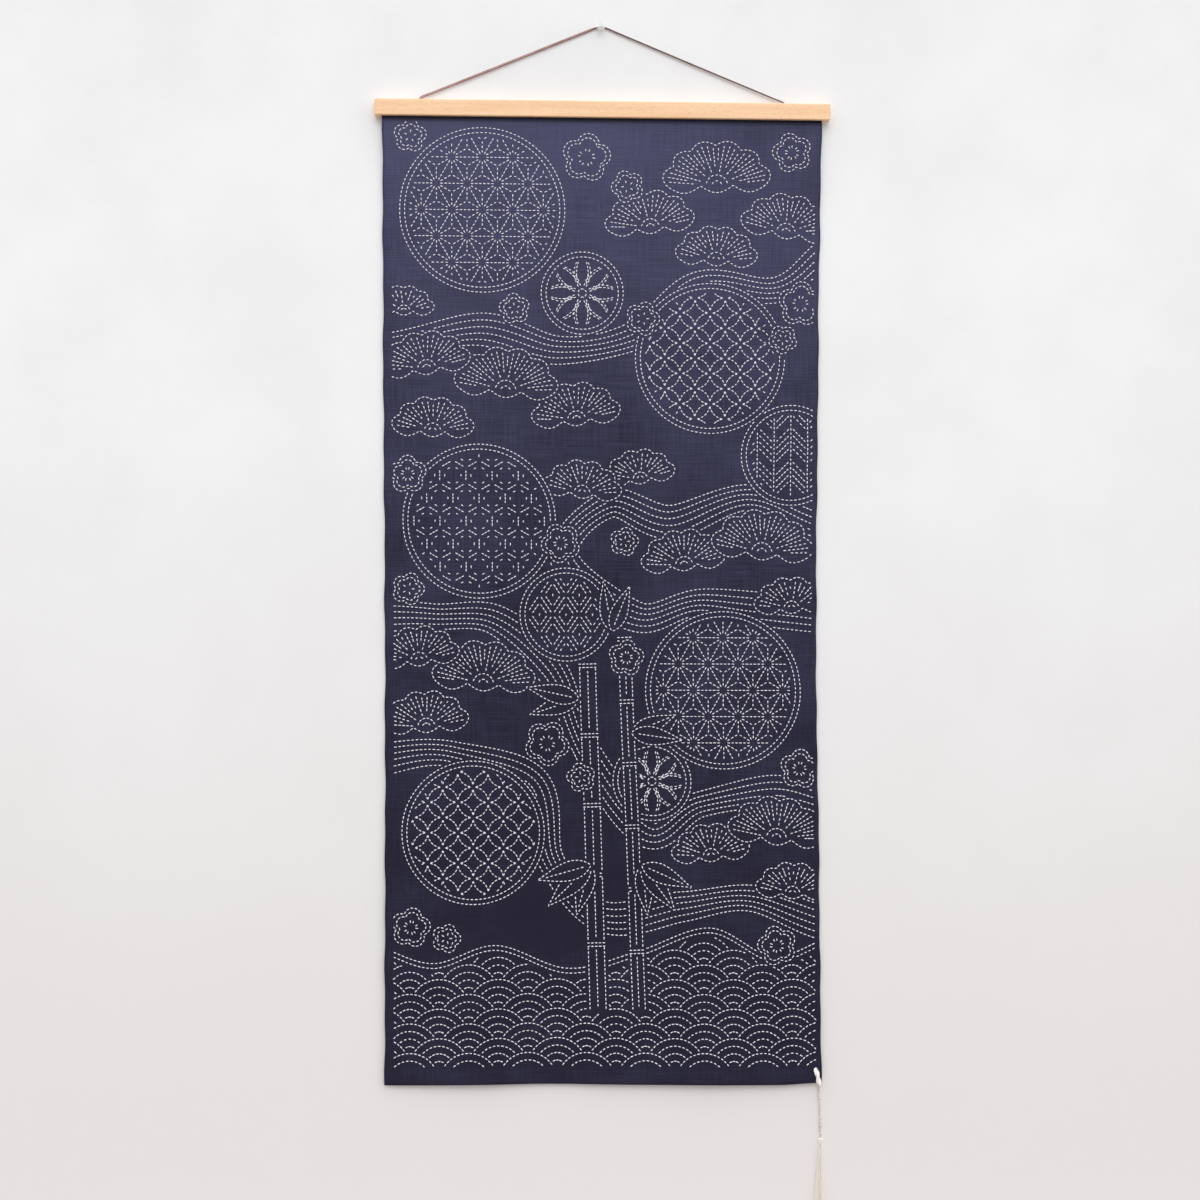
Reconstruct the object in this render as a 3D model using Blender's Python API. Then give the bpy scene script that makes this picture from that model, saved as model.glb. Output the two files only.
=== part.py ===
"""Sashiko wall hanging, clamped in a two-strip wooden hanger bar and hung by a leather lace from a push pin.

Metres, +Z up. X runs to the right and Y into the wall, as a person facing the hanging sees it. The origin lies
on the push pin's axis at the wall, and the wall is the plane y = 0.
"""

import math

import bpy
import numpy as np

MM = 0.001
GAP = 0.3 * MM  # between neighbouring pieces

# Hanger bar: two strips with the cloth between them
BAR_LENGTH = 510 * MM
BAR_HEIGHT = 18.5 * MM
STRIP_DEPTH = 6.3 * MM
STRIP_ROUNDING = 1.4 * MM
BAR_TOP = -84 * MM  # below the pin's axis
BAR_CENTRE_X = 2.5 * MM  # the lace has slipped a little over the pin
BAR_TILT = math.radians(0.25)  # the right end hangs lower

# Cloth
CLOTH_THICKNESS = 1.2 * MM
CLAMPED = 17.5 * MM  # height of cloth held between the strips
CLOTH_DROP = 1082 * MM  # from the bar's lower edge to the hem's edge
HEM_HEIGHT = 18 * MM
HEM_EXTRA = 1.2 * MM  # the turned layers, on the wall side
HEM_STEP = 1.0 * MM  # height over which the turned layers begin
CLOTH_COLUMNS = 24
CLOTH_ROWS = 46

# Eyelet through the hem for the tassel's cord, from the cloth's lower right corner
EYELET_FROM_SIDE = 6.5 * MM
EYELET_ABOVE_EDGE = 14.5 * MM
EYELET_CLEARANCE = 0.5 * MM

# Lace
LACE_DIAMETER = 2.6 * MM
LACE_REACH = 208 * MM  # from the bar's centre to each slot
SLOT_WIDTH = 3.4 * MM
SLOT_LENGTH = 7.0 * MM
SLOT_DEPTH = 9.0 * MM
LACE_SPACING = 8 * MM
TURN_A_POINT = math.radians(14)  # bend of a cord's route that takes one more point

# Push pin: it stands out from the wall along -Y
PIN_HEAD_RADIUS = 4.6 * MM
PIN_FLANGE_RADIUS = 4.3 * MM
PIN_WAIST_RADIUS = 2.6 * MM
PIN_LENGTH = 11.2 * MM
NEEDLE_RADIUS = 0.6 * MM
NEEDLE_IN_WALL = 7.4 * MM
NEEDLE_IN_PIN = 7.3 * MM
PIN_STAND_OFF = 3.2 * MM  # the pin isn't pushed home, and the lace hangs on its needle

# Tassel's cord, knot and strands
LOOP_DIAMETER = 4.6 * MM
CORD_RADIUS = 1.7 * MM  # over both plies
CORD_WAIST = 1.0 * MM  # between the plies
CORD_PITCH = 8.6 * MM  # one full turn of a ply
CORD_STEPS_A_TURN = 8
CORD_LENGTH = 57 * MM
KNOT_RADIUS = 2.5 * MM
KNOT_HALF_HEIGHT = 2.7 * MM
STRAND_RADIUS = 0.5 * MM
STRAND_LENGTH = 96 * MM
STRAND_STEPS = 8

# Side edges of the hanging cloth: (drop below the bar, x of the left edge, x of the right edge)
SIDE_EDGES = (
    (-20 * MM, -244.4 * MM, 248.4 * MM),
    (0 * MM, -244.2 * MM, 248.4 * MM),
    (250 * MM, -243.2 * MM, 245.3 * MM),
    (530 * MM, -241.4 * MM, 242.8 * MM),
    (650 * MM, -240.9 * MM, 243.0 * MM),
    (810 * MM, -240.6 * MM, 245.8 * MM),
    (905 * MM, -240.7 * MM, 246.7 * MM),
    (1082 * MM, -241.0 * MM, 248.4 * MM),
)

# Lower edge of the hem: (share of the width from the left, how far it hangs below the nominal drop)
HEM_EDGE = (
    (0.00, 0.0 * MM),
    (0.38, -1.4 * MM),
    (0.62, -0.4 * MM),
    (0.90, 0.3 * MM),
    (1.00, -1.9 * MM),
)

# Soft upright folds: (x of the crest, half width, how far it stands out at the hem, drop where it starts).
# A positive crest stands towards the room, a negative one falls back towards the wall.
FOLDS = (
    (-238 * MM, 62 * MM, 1.6 * MM, 180 * MM),
    (-152 * MM, 74 * MM, -1.7 * MM, 420 * MM),
    (-62 * MM, 84 * MM, 1.9 * MM, 300 * MM),
    (38 * MM, 70 * MM, -1.5 * MM, 500 * MM),
    (132 * MM, 78 * MM, 1.5 * MM, 240 * MM),
    (190 * MM, 44 * MM, -1.2 * MM, 620 * MM),
    (250 * MM, 58 * MM, 2.6 * MM, 160 * MM),
)

# Tassel strands: (ring radius at the knot, how many stand on it)
STRAND_RINGS = (
    (0.60 * MM, 3),
    (1.75 * MM, 9),
)

BAR_BOTTOM = BAR_TOP - BAR_HEIGHT
CLAMP_WIDTH = CLOTH_THICKNESS + 2 * GAP
CLOTH_Y = -(STRIP_DEPTH + CLAMP_WIDTH / 2)
LACE_RADIUS = LACE_DIAMETER / 2
LOOP_RADIUS = LOOP_DIAMETER / 2


def clear_scene():
    for obj in list(bpy.data.objects):
        bpy.data.objects.remove(obj, do_unlink=True)


def make_material(name, colour, roughness, metallic=0.0, transmission=0.0):
    """A Principled material; the colour is linear RGB."""
    material = bpy.data.materials.new(name)
    material.use_nodes = True
    shader = material.node_tree.nodes["Principled BSDF"]
    shader.inputs["Base Color"].default_value = (*colour, 1.0)
    shader.inputs["Roughness"].default_value = roughness
    shader.inputs["Metallic"].default_value = metallic
    shader.inputs["Transmission Weight"].default_value = transmission
    return material


def add_mesh(name, points, faces, material=None):
    mesh = bpy.data.meshes.new(name)
    mesh.from_pydata([tuple(point) for point in points], [], faces)
    mesh.validate()
    obj = bpy.data.objects.new(name, mesh)
    bpy.context.scene.collection.objects.link(obj)
    if material:
        mesh.materials.append(material)
    return obj


def shade_smooth(obj, sharp_over=40):
    obj.data.shade_smooth()
    obj.data.set_sharp_from_angle(angle=math.radians(sharp_over))


def hide_cutter(cutter):
    cutter.hide_render = True
    cutter.display_type = "WIRE"


def add_boolean(obj, other, operation):
    modifier = obj.modifiers.new(operation.title() + " " + other.name, "BOOLEAN")
    modifier.operation = operation
    modifier.object = other
    modifier.solver = "EXACT"
    hide_cutter(other)


def smooth_between(rows, at, column):
    """The column's value at the given first-column place, eased from row to row."""
    for low, high in zip(rows, rows[1:]):
        if at <= high[0]:
            share = max(0.0, (at - low[0]) / (high[0] - low[0]))
            share = share * share * (3 - 2 * share)
            return low[column] + share * (high[column] - low[column])
    return rows[-1][column]


def tilt_drop(x):
    """How much lower the tilted bar, and so the cloth, hangs at this x."""
    return math.tan(BAR_TILT) * (x - BAR_CENTRE_X)


def cloth_middle(x, drop):
    """y of the middle of the hanging cloth's thickness."""
    y = CLOTH_Y
    for crest, half_width, reach, start in FOLDS:
        across = (x - crest) / half_width
        if abs(across) >= 1 or drop <= start:
            continue
        down = min(1.0, (drop - start) / (CLOTH_DROP - start))
        y -= reach * math.cos(across * math.pi / 2) ** 2 * down * down * (3 - 2 * down)
    return y


def cloth_point(share, drop):
    """Point on the middle of the cloth, at a share of its width and a drop below the bar."""
    left = smooth_between(SIDE_EDGES, drop, 1)
    right = smooth_between(SIDE_EDGES, drop, 2)
    x = left + share * (right - left)
    near_hem = max(0.0, min(1.0, (drop - 0.8 * CLOTH_DROP) / (0.2 * CLOTH_DROP)))
    uneven = smooth_between(HEM_EDGE, share, 1) * near_hem
    z = BAR_BOTTOM - drop - tilt_drop(x) - uneven
    return np.array((x, cloth_middle(x, drop), z))


def cloth_drops():
    """Drops of the cloth's rows: the clamped strip, the hanging part, and the hem with its step."""
    hem_top = CLOTH_DROP - HEM_HEIGHT
    hanging = np.linspace(0, hem_top - HEM_STEP, CLOTH_ROWS)
    return [-CLAMPED, *hanging, hem_top, CLOTH_DROP]


def make_cloth(material):
    drops = cloth_drops()
    shares = np.linspace(0, 1, CLOTH_COLUMNS + 1)
    points = []
    for side in (-1, 1):
        for drop in drops:
            extra = HEM_EXTRA if side > 0 and drop >= CLOTH_DROP - HEM_HEIGHT else 0.0
            for share in shares:
                point = cloth_point(share, drop)
                point[1] += side * CLOTH_THICKNESS / 2 + extra
                points.append(point)
    wide = len(shares)
    layer = len(drops) * wide
    faces = []
    for row in range(len(drops) - 1):
        for column in range(CLOTH_COLUMNS):
            first = row * wide + column
            quad = (first, first + wide, first + wide + 1, first + 1)
            faces.append(quad)
            faces.append(tuple(layer + index for index in reversed(quad)))
    top = list(range(wide))
    bottom = [layer - wide + index for index in range(wide)]
    left = [row * wide for row in range(len(drops))]
    right = [row * wide + CLOTH_COLUMNS for row in range(len(drops))]
    for edge in (list(reversed(top)), bottom, left, list(reversed(right))):
        for first, second in zip(edge, edge[1:]):
            faces.append((second, first, layer + first, layer + second))
    cloth = add_mesh("cloth", points, faces, material)
    shade_smooth(cloth)
    add_boolean(cloth, eyelet_cutter(), "DIFFERENCE")
    return cloth


def corner():
    """The hem's lower right corner, on the middle of the cloth."""
    return cloth_point(1.0, CLOTH_DROP)


def eyelet_centre():
    x, y, z = corner() + np.array((-EYELET_FROM_SIDE, 0, EYELET_ABOVE_EDGE))
    return np.array((x, cloth_middle(x, CLOTH_DROP - EYELET_ABOVE_EDGE), z))


def eyelet_cutter():
    centre = eyelet_centre()
    radius = LOOP_RADIUS + EYELET_CLEARANCE
    half = 5 * CLOTH_THICKNESS
    profile = ((0, -half), (radius, -half), (radius, half), (0, half))
    cutter = turned("eyelet_cutter", profile, 16)
    cutter.location = centre
    return cutter


def turned(name, profile, sides, material=None):
    """A solid turned about Y from its (radius, y) profile, listed from the room side to the wall side."""
    points = []
    rings = []
    for radius, y in profile:
        if radius == 0:
            rings.append([len(points)])
            points.append((0, y, 0))
            continue
        rings.append(list(range(len(points), len(points) + sides)))
        for side in range(sides):
            angle = 2 * math.pi * side / sides
            points.append((radius * math.cos(angle), y, radius * math.sin(angle)))
    faces = []
    for ring, following in zip(rings, rings[1:]):
        for side in range(sides):
            after = (side + 1) % sides
            corners = [ring[side % len(ring)], ring[after % len(ring)]]
            corners += [following[after % len(following)], following[side % len(following)]]
            faces.append(tuple(reversed(list(dict.fromkeys(corners)))))
    obj = add_mesh(name, points, faces, material)
    shade_smooth(obj)
    return obj


def make_strip(name, back_y, material):
    """One strip of the bar, whose wall-side face is the plane y = back_y."""
    half = (BAR_LENGTH / 2, STRIP_DEPTH / 2, BAR_HEIGHT / 2)
    signs = [(x, y, z) for x in (-1, 1) for y in (-1, 1) for z in (-1, 1)]
    points = [tuple(sign * size for sign, size in zip(corner_signs, half)) for corner_signs in signs]
    faces = [(0, 1, 3, 2), (4, 6, 7, 5), (0, 4, 5, 1), (2, 3, 7, 6), (0, 2, 6, 4), (1, 5, 7, 3)]
    strip = add_mesh(name, points, faces, material)
    strip.location = (BAR_CENTRE_X, back_y - STRIP_DEPTH / 2, BAR_TOP - BAR_HEIGHT / 2)
    strip.rotation_euler = (0, BAR_TILT, 0)
    rounding = strip.modifiers.new("Rounded edges", "BEVEL")
    rounding.width = STRIP_ROUNDING
    rounding.segments = 3
    rounding.limit_method = "ANGLE"
    return strip


def slot_cutter(side, strip):
    """A slot with round ends in the rear strip's top edge; it reaches from the lace's end towards the pin."""
    radius = SLOT_WIDTH / 2
    inner = SLOT_LENGTH / 2 - radius
    outline = []
    for end in (1, -1):
        for step in range(7):
            angle = math.pi * (step / 6 - 0.5)
            outline.append((end * (inner + radius * math.cos(angle)), end * radius * math.sin(angle)))
    count = len(outline)
    heights = (-SLOT_DEPTH, SLOT_DEPTH)
    points = [(x, y, z) for z in heights for x, y in outline]
    faces = [tuple(reversed(range(count))), tuple(range(count, 2 * count))]
    for index in range(count):
        after = (index + 1) % count
        faces.append((index, after, count + after, count + index))
    cutter = add_mesh(f"slot_cutter_{'left' if side < 0 else 'right'}", points, faces)
    cutter.parent = strip
    inward = SLOT_LENGTH / 2 - radius
    cutter.location = (side * (LACE_REACH - inward), 0, BAR_HEIGHT / 2)
    return cutter


def make_bar(material):
    front = make_strip("bar_front", -(STRIP_DEPTH + CLAMP_WIDTH), material)
    back = make_strip("bar_back", 0.0, material)
    for side in (-1, 1):
        add_boolean(back, slot_cutter(side, back), "DIFFERENCE")
    return front, back


def smooth_curve(route, spacing):
    """Points on a smooth curve through the route's own points, the given spacing apart and closer at its bends."""
    route = np.array(route, float)
    padded = np.vstack((2 * route[0] - route[1], route, 2 * route[-1] - route[-2]))
    fine = []
    for before, start, end, after in zip(padded, padded[1:], padded[2:], padded[3:]):
        reach = np.linalg.norm(end - start)
        leave = (end - before) / (np.linalg.norm(end - start) + np.linalg.norm(start - before)) * reach
        arrive = (after - start) / (np.linalg.norm(after - end) + np.linalg.norm(end - start)) * reach
        for share in np.linspace(0, 1, 16, endpoint=False):
            square = share * share
            cube = square * share
            fine.append(
                (2 * cube - 3 * square + 1) * start
                + (cube - 2 * square + share) * leave
                + (3 * square - 2 * cube) * end
                + (cube - square) * arrive
            )
    fine.append(route[-1])
    fine = np.array(fine)
    steps = np.diff(fine, axis=0)
    lengths = np.linalg.norm(steps, axis=1)
    along = steps / lengths[:, None]
    turns = np.arccos(np.clip(np.sum(along[1:] * along[:-1], axis=1), -1, 1))
    points_due = lengths / spacing + np.concatenate(([0.0], turns)) / TURN_A_POINT
    run = np.concatenate(([0.0], np.cumsum(points_due)))
    stops = np.linspace(0, run[-1], 2 * math.ceil(run[-1] / 2) + 1)
    return np.stack([np.interp(stops, run, fine[:, axis]) for axis in range(3)], axis=1)


def make_tube(name, points, diameter, material):
    curve = bpy.data.curves.new(name, "CURVE")
    curve.dimensions = "3D"
    curve.bevel_depth = diameter / 2
    curve.bevel_resolution = 2
    curve.use_fill_caps = True
    spline = curve.splines.new("POLY")
    spline.points.add(len(points) - 1)
    for knot, point in zip(spline.points, points):
        knot.co = (*point, 1.0)
    curve.materials.append(material)
    tube = bpy.data.objects.new(name, curve)
    bpy.context.scene.collection.objects.link(tube)
    return tube


def lace_route():
    """Up out of the left slot, over the needle between pin and wall, and down into the right slot."""
    over_needle = NEEDLE_RADIUS + GAP + LACE_RADIUS
    in_bar = -STRIP_DEPTH / 2
    on_needle = -PIN_STAND_OFF / 2

    def leg(side):
        hole_x = BAR_CENTRE_X + side * LACE_REACH
        top = BAR_TOP - tilt_drop(hole_x)
        points = [
            (hole_x, in_bar, top - 7.5 * MM),
            (hole_x - side * 0.2 * MM, in_bar, top - 4.0 * MM),
            (hole_x - side * 1.4 * MM, in_bar, top - 1.0 * MM),
        ]
        leaves = np.array((hole_x - side * 5.0 * MM, in_bar, top + 1.8 * MM))
        meets = np.array((side * 3.6 * MM, on_needle, over_needle - 0.7 * MM))
        for share in (0.0, 0.06, 0.25, 0.5, 0.75, 0.94, 1.0):
            points.append(tuple(leaves + share * (meets - leaves)))
        return points

    return leg(-1) + [(0.0, on_needle, over_needle)] + leg(1)[::-1]


def make_pin(plastic, steel):
    profile = (
        (0, -PIN_LENGTH),
        (PIN_HEAD_RADIUS - 0.7 * MM, -PIN_LENGTH),
        (PIN_HEAD_RADIUS, -PIN_LENGTH + 0.6 * MM),
        (PIN_HEAD_RADIUS, -PIN_LENGTH + 1.5 * MM),
        (PIN_HEAD_RADIUS - 0.6 * MM, -PIN_LENGTH + 2.1 * MM),
        (PIN_WAIST_RADIUS, -PIN_LENGTH + 2.7 * MM),
        (PIN_WAIST_RADIUS, -2.4 * MM),
        (PIN_FLANGE_RADIUS - 0.5 * MM, -1.9 * MM),
        (PIN_FLANGE_RADIUS, -1.5 * MM),
        (PIN_FLANGE_RADIUS, 0),
        (NEEDLE_RADIUS + GAP, 0),
        (NEEDLE_RADIUS + GAP, -NEEDLE_IN_PIN - GAP),
        (0, -NEEDLE_IN_PIN - GAP),
    )
    turned("wall_pin", [(radius, y - PIN_STAND_OFF) for radius, y in profile], 24, plastic)
    needle = (
        (0, -NEEDLE_IN_PIN - PIN_STAND_OFF),
        (NEEDLE_RADIUS, -NEEDLE_IN_PIN - PIN_STAND_OFF),
        (NEEDLE_RADIUS, NEEDLE_IN_WALL - 2.5 * MM),
        (0, NEEDLE_IN_WALL),
    )
    turned("pin_needle", needle, 12, steel)


def loop_route():
    """From under the hem up the front, through the eyelet, and down the back to under the hem."""
    end = corner()
    eye = eyelet_centre()
    front = eye[1] - CLOTH_THICKNESS / 2 - GAP - LOOP_RADIUS
    back = eye[1] + CLOTH_THICKNESS / 2 + HEM_EXTRA + GAP + LOOP_RADIUS
    middle = (front + back) / 2
    turn = (back - front) / 2
    apart = LOOP_RADIUS + GAP / 2
    below = end[2] - 3.8 * MM
    join_x = end[0] - 2.8 * MM
    return [
        (join_x, middle - apart, below),
        (join_x - 0.3 * MM, front + 0.2 * MM, end[2] - 0.4 * MM),
        (join_x - 1.3 * MM, front - 0.1 * MM, end[2] + 4.0 * MM),
        (eye[0] + 0.8 * MM, front, eye[2] - 0.75 * turn),
        (eye[0], middle - 0.7 * turn, eye[2] - 0.24 * turn),
        (eye[0], middle, eye[2]),
        (eye[0], middle + 0.7 * turn, eye[2] - 0.24 * turn),
        (eye[0] + 0.8 * MM, back, eye[2] - 0.75 * turn),
        (join_x - 1.3 * MM, back + 0.1 * MM, end[2] + 4.0 * MM),
        (join_x - 0.3 * MM, back - 0.2 * MM, end[2] - 0.4 * MM),
        (join_x, middle + apart, below),
    ]


def cord_route():
    """The hanging cord, from just under the loop's two ends down to the knot."""
    route = loop_route()
    top = (np.array(route[0]) + np.array(route[-1])) / 2
    top[2] -= GAP
    sway = ((0.0, 0.0), (0.2, 0.15 * MM), (0.45, 1.1 * MM), (1.0, 1.5 * MM))
    return [top + np.array((aside, 0, -share * CORD_LENGTH)) for share, aside in sway]


def make_tassel_cord(material):
    """Two plies laid round each other, as one solid of two turning lobes."""
    sides = 10
    points = smooth_curve(cord_route(), CORD_PITCH / CORD_STEPS_A_TURN)
    rings = []
    for centre in points:
        turn = 2 * math.pi * (points[0][2] - centre[2]) / CORD_PITCH + math.pi / 2
        for side in range(sides):
            angle = 2 * math.pi * side / sides
            radius = CORD_WAIST + (CORD_RADIUS - CORD_WAIST) * abs(math.cos(angle))
            rings.append(
                centre + radius * np.array((math.cos(angle + turn), math.sin(angle + turn), 0))
            )
    faces = tube_faces(len(points), sides)
    cord = add_mesh("tassel_cord", rings, faces, material)
    shade_smooth(cord, 75)
    return points[-1]


def tube_faces(rings, sides, first=0):
    """Faces of a closed tube whose rings run downwards, counted round from +X towards +Y."""
    faces = [tuple(first + side for side in range(sides))]
    for ring in range(rings - 1):
        for side in range(sides):
            after = (side + 1) % sides
            above = first + ring * sides
            below = above + sides
            faces.append((above + side, below + side, below + after, above + after))
    last = first + (rings - 1) * sides
    faces.append(tuple(last + side for side in reversed(range(sides))))
    return faces


def make_tassel(cord_end, material):
    """The knot's head with the loose strands fused into its underside."""
    centre = cord_end - np.array((0, 0, GAP + KNOT_HALF_HEIGHT))
    profile = []
    for step in range(9):
        angle = math.pi * step / 8
        profile.append((KNOT_RADIUS * math.sin(angle) if 0 < step < 8 else 0, -math.cos(angle)))
    head = turned("tassel", [(radius, height * KNOT_HALF_HEIGHT) for radius, height in profile], 14, material)
    head.rotation_euler = (math.radians(90), 0, 0)
    head.location = centre

    points = []
    faces = []
    for ring, (radius, count) in enumerate(STRAND_RINGS):
        for index in range(count):
            angle = 2 * math.pi * (index + 0.5 * ring) / count
            length = STRAND_LENGTH * (1 - 0.10 * ((index * 5 + ring * 3) % 7) / 6)
            root = np.array((math.cos(angle), math.sin(angle))) * radius
            first = len(points)
            for step in range(STRAND_STEPS + 1):
                share = step / STRAND_STEPS
                spread = 1 + 2.3 * share ** 0.8
                bend = 0.5 * MM * math.sin(2 * math.pi * share)
                middle = np.array(
                    (
                        root[0] * spread + bend,
                        root[1] * (1 + 0.8 * share),
                        -0.35 * KNOT_HALF_HEIGHT - share * length,
                    )
                )
                for side in range(4):
                    around = math.pi * side / 2 + math.pi / 4
                    points.append(
                        middle + STRAND_RADIUS * np.array((math.cos(around), math.sin(around), 0))
                    )
            faces += tube_faces(STRAND_STEPS + 1, 4, first)
    strands = add_mesh("tassel_strands", points, faces)
    strands.location = centre
    add_boolean(head, strands, "UNION")
    return head


def main():
    clear_scene()
    beech = make_material("Oiled beech", (0.80, 0.58, 0.37), 0.45)
    indigo = make_material("Indigo cotton", (0.050, 0.049, 0.092), 0.9)
    leather = make_material("Brown leather lace", (0.17, 0.09, 0.07), 0.6)
    clear = make_material("Clear plastic", (0.85, 0.87, 0.88), 0.15, transmission=0.6)
    steel = make_material("Needle steel", (0.60, 0.60, 0.60), 0.3, metallic=1.0)
    thread = make_material("Cream cotton thread", (0.78, 0.70, 0.62), 0.85)
    make_bar(beech)
    make_cloth(indigo)
    make_tube("hanging_lace", smooth_curve(lace_route(), LACE_SPACING), LACE_DIAMETER, leather)
    make_pin(clear, steel)
    make_tube("cord_loop", smooth_curve(loop_route(), 0.5 * LOOP_DIAMETER), LOOP_DIAMETER, thread)
    cord_end = make_tassel_cord(thread)
    make_tassel(cord_end, thread)


main()
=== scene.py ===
"""Sashiko wall hanging: indigo cotton with white running stitches, clamped in a beech hanger bar.

Metres, +Z up, +X to the viewer's right and +Y into the wall; the origin is the push pin's axis at the wall.
"""

import math
from functools import partial

import bpy
import numpy as np
from bpy.props import FloatProperty, FloatVectorProperty, IntProperty, PointerProperty
from mathutils import Matrix, Vector, noise


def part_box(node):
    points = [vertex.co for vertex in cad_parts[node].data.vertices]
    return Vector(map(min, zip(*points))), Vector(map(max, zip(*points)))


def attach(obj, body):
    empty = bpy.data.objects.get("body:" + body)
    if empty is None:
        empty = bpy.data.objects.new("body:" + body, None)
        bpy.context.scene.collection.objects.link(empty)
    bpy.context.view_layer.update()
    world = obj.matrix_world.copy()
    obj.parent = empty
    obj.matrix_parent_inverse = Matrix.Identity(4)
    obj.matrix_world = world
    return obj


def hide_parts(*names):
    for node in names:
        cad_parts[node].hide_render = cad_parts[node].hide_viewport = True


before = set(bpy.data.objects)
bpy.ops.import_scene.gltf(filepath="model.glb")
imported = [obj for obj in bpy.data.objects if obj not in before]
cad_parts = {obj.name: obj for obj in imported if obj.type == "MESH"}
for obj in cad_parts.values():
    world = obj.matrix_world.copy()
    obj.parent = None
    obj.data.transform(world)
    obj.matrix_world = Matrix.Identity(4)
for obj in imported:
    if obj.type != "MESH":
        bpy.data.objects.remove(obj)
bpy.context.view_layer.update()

bl_info = {
    "name": "Sashiko Wall Hanging",
    "version": (1, 0, 0),
    "blender": (4, 5, 0),
    "location": "3D View > Sidebar > Sashiko",
    "description": "Builds a stitched indigo cloth with its hanger bar, lace, pin and tassel",
    "category": "Add Mesh",
}

MM = 0.001
ROOT = "root"

# === Places and sizes shared with the frame ===

BAR_LOW, BAR_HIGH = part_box("bar_front")
BACK_LOW, BACK_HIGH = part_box("bar_back")
PIN_LOW, PIN_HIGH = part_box("wall_pin")
TASSEL_LOW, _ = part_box("tassel")

GAP = 0.3 * MM
BAR_TILT = math.radians(0.25)
BAR_CENTRE_X = (BAR_LOW.x + BAR_HIGH.x) / 2
BAR_HEIGHT = 18.5 * MM
BAR_TOP = (BACK_LOW.z + BACK_HIGH.z) / 2 + BAR_HEIGHT / 2
BAR_BOTTOM = BAR_TOP - BAR_HEIGHT
STRIP_DEPTH = BACK_HIGH.y - BACK_LOW.y
CLOTH_Y = (BAR_HIGH.y + BACK_LOW.y) / 2

CAD_CLOTH_THICKNESS = 1.2 * MM
CLAMPED = 17.5 * MM
CLOTH_DROP = 1082 * MM
HEM_HEIGHT = 18 * MM
HEM_EXTRA = 1.2 * MM
PATTERN_WIDTH = 490.0  # width of the cloth on which the pattern is drawn, in millimetres


def in_metres(*rows):
    """A table of millimetres in metres."""
    return tuple(tuple(value * MM for value in row) for row in rows)


# Side edges: (drop below the bar, x of the left edge, x of the right edge)
SIDE_EDGES = in_metres(
    (-20, -244.4, 248.4), (0, -244.2, 248.4), (250, -243.2, 245.3), (530, -241.4, 242.8),
    (650, -240.9, 243.0), (810, -240.6, 245.8), (905, -240.7, 246.7), (1082, -241.0, 248.4),
)

# Lower edge of the hem: (share of the width from the left, how far it hangs below the nominal drop)
HEM_EDGE = ((0.00, 0.0), (0.38, -1.4 * MM), (0.62, -0.4 * MM), (0.90, 0.3 * MM), (1.00, -1.9 * MM))

# Soft upright folds: (x of the crest, half width, how far it stands out at the hem, drop where it starts)
FOLDS = in_metres(
    (-246, 62, -1.6, 180), (-140, 74, 2.0, 420), (-58, 62, -1.8, 300), (34, 60, 0.9, 500),
    (116, 84, 3.4, 240), (190, 44, 0.8, 620), (250, 58, -0.6, 160),
)

# The selvedges curl back by this much, over this width.
CURL_REACH = 4.4 * MM
CURL_WIDTH = 13 * MM
# It eases off near the hem: (column of SIDE_EDGES, share of the drop where it starts to, what is left)
CURL_EASING = ((1, 0.60, 0.15), (2, 0.80, 0.35))

# Puckers of washed, stitched cotton: (width, height, weight, layer of the noise)
PUCKERS = ((0.034, 0.046, 1.0, 0.0), (0.013, 0.017, 0.5, 4.0))
PUCKER_DEPTH = 0.30 * MM

# Creases left by folding: (from x, from drop, to x, to drop, half width, depth into the cloth)
CREASES = in_metres(
    (-226, 640, -132, 694, 9, 0.5), (-206, 676, -118, 656, 7, -0.4), (60, 560, 150, 596, 10, 0.4),
    (-60, 846, 60, 838, 12, -0.4), (-236, 270, -170, 262, 9, 0.4),
)

# === The stitched pattern: millimetres, u to the right, h up from the bar's lower edge ===

# Roundels: (field that fills it, u, h, radius), the front ones first
ROUNDELS = (
    ("hemp leaf", -134, -104, 92),
    ("thread ball", -22, -196, 46),
    ("linked rings", 122, -268, 84),
    ("arrow feathers", 214, -376, 56),
    ("tortoiseshell", -138, -452, 86),
    ("diamonds", -40, -556, 52),
    ("hemp leaf", 138, -640, 88),
    ("thread ball", 56, -742, 44),
    ("linked rings", -146, -800, 80),
)

# Pine clumps: (u, h, radius, turn in degrees)
PINES = (
    (128, -74, 60, 2), (206, -126, 52, -8), (54, -122, 50, 6), (128, -158, 46, -3), (-196, -282, 50, 8),
    (-108, -306, 58, -4), (-28, -338, 50, 6), (-190, -352, 46, -2), (182, -486, 58, -5), (94, -500, 48, 6),
    (216, -548, 42, 3), (-206, -608, 46, 6), (-134, -634, 58, -3), (-198, -682, 48, 4), (196, -806, 56, -6),
    (122, -826, 44, 5), (214, -868, 42, -3), (-22, -420, 44, -6), (44, -404, 40, 8), (-222, -218, 34, 0),
)

# Plum blossoms: (u, h, radius, turn in degrees)
BLOSSOMS = (
    (-18, -44, 27, 10), (28, -76, 18, 40), (-214, -22, 18, 12), (212, -36, 22, 33), (224, -206, 25, 15),
    (204, -246, 16, 50), (46, -224, 19, 0), (-98, -214, 17, 25), (-218, -400, 21, 20), (-46, -476, 22, 45),
    (26, -474, 16, 5), (-218, -528, 18, 0), (28, -604, 20, 10), (224, -728, 22, 12), (-62, -700, 25, 60),
    (-24, -738, 16, 30), (196, -926, 22, 33), (-216, -906, 22, 8), (-176, -918, 16, 0),
)

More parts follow.
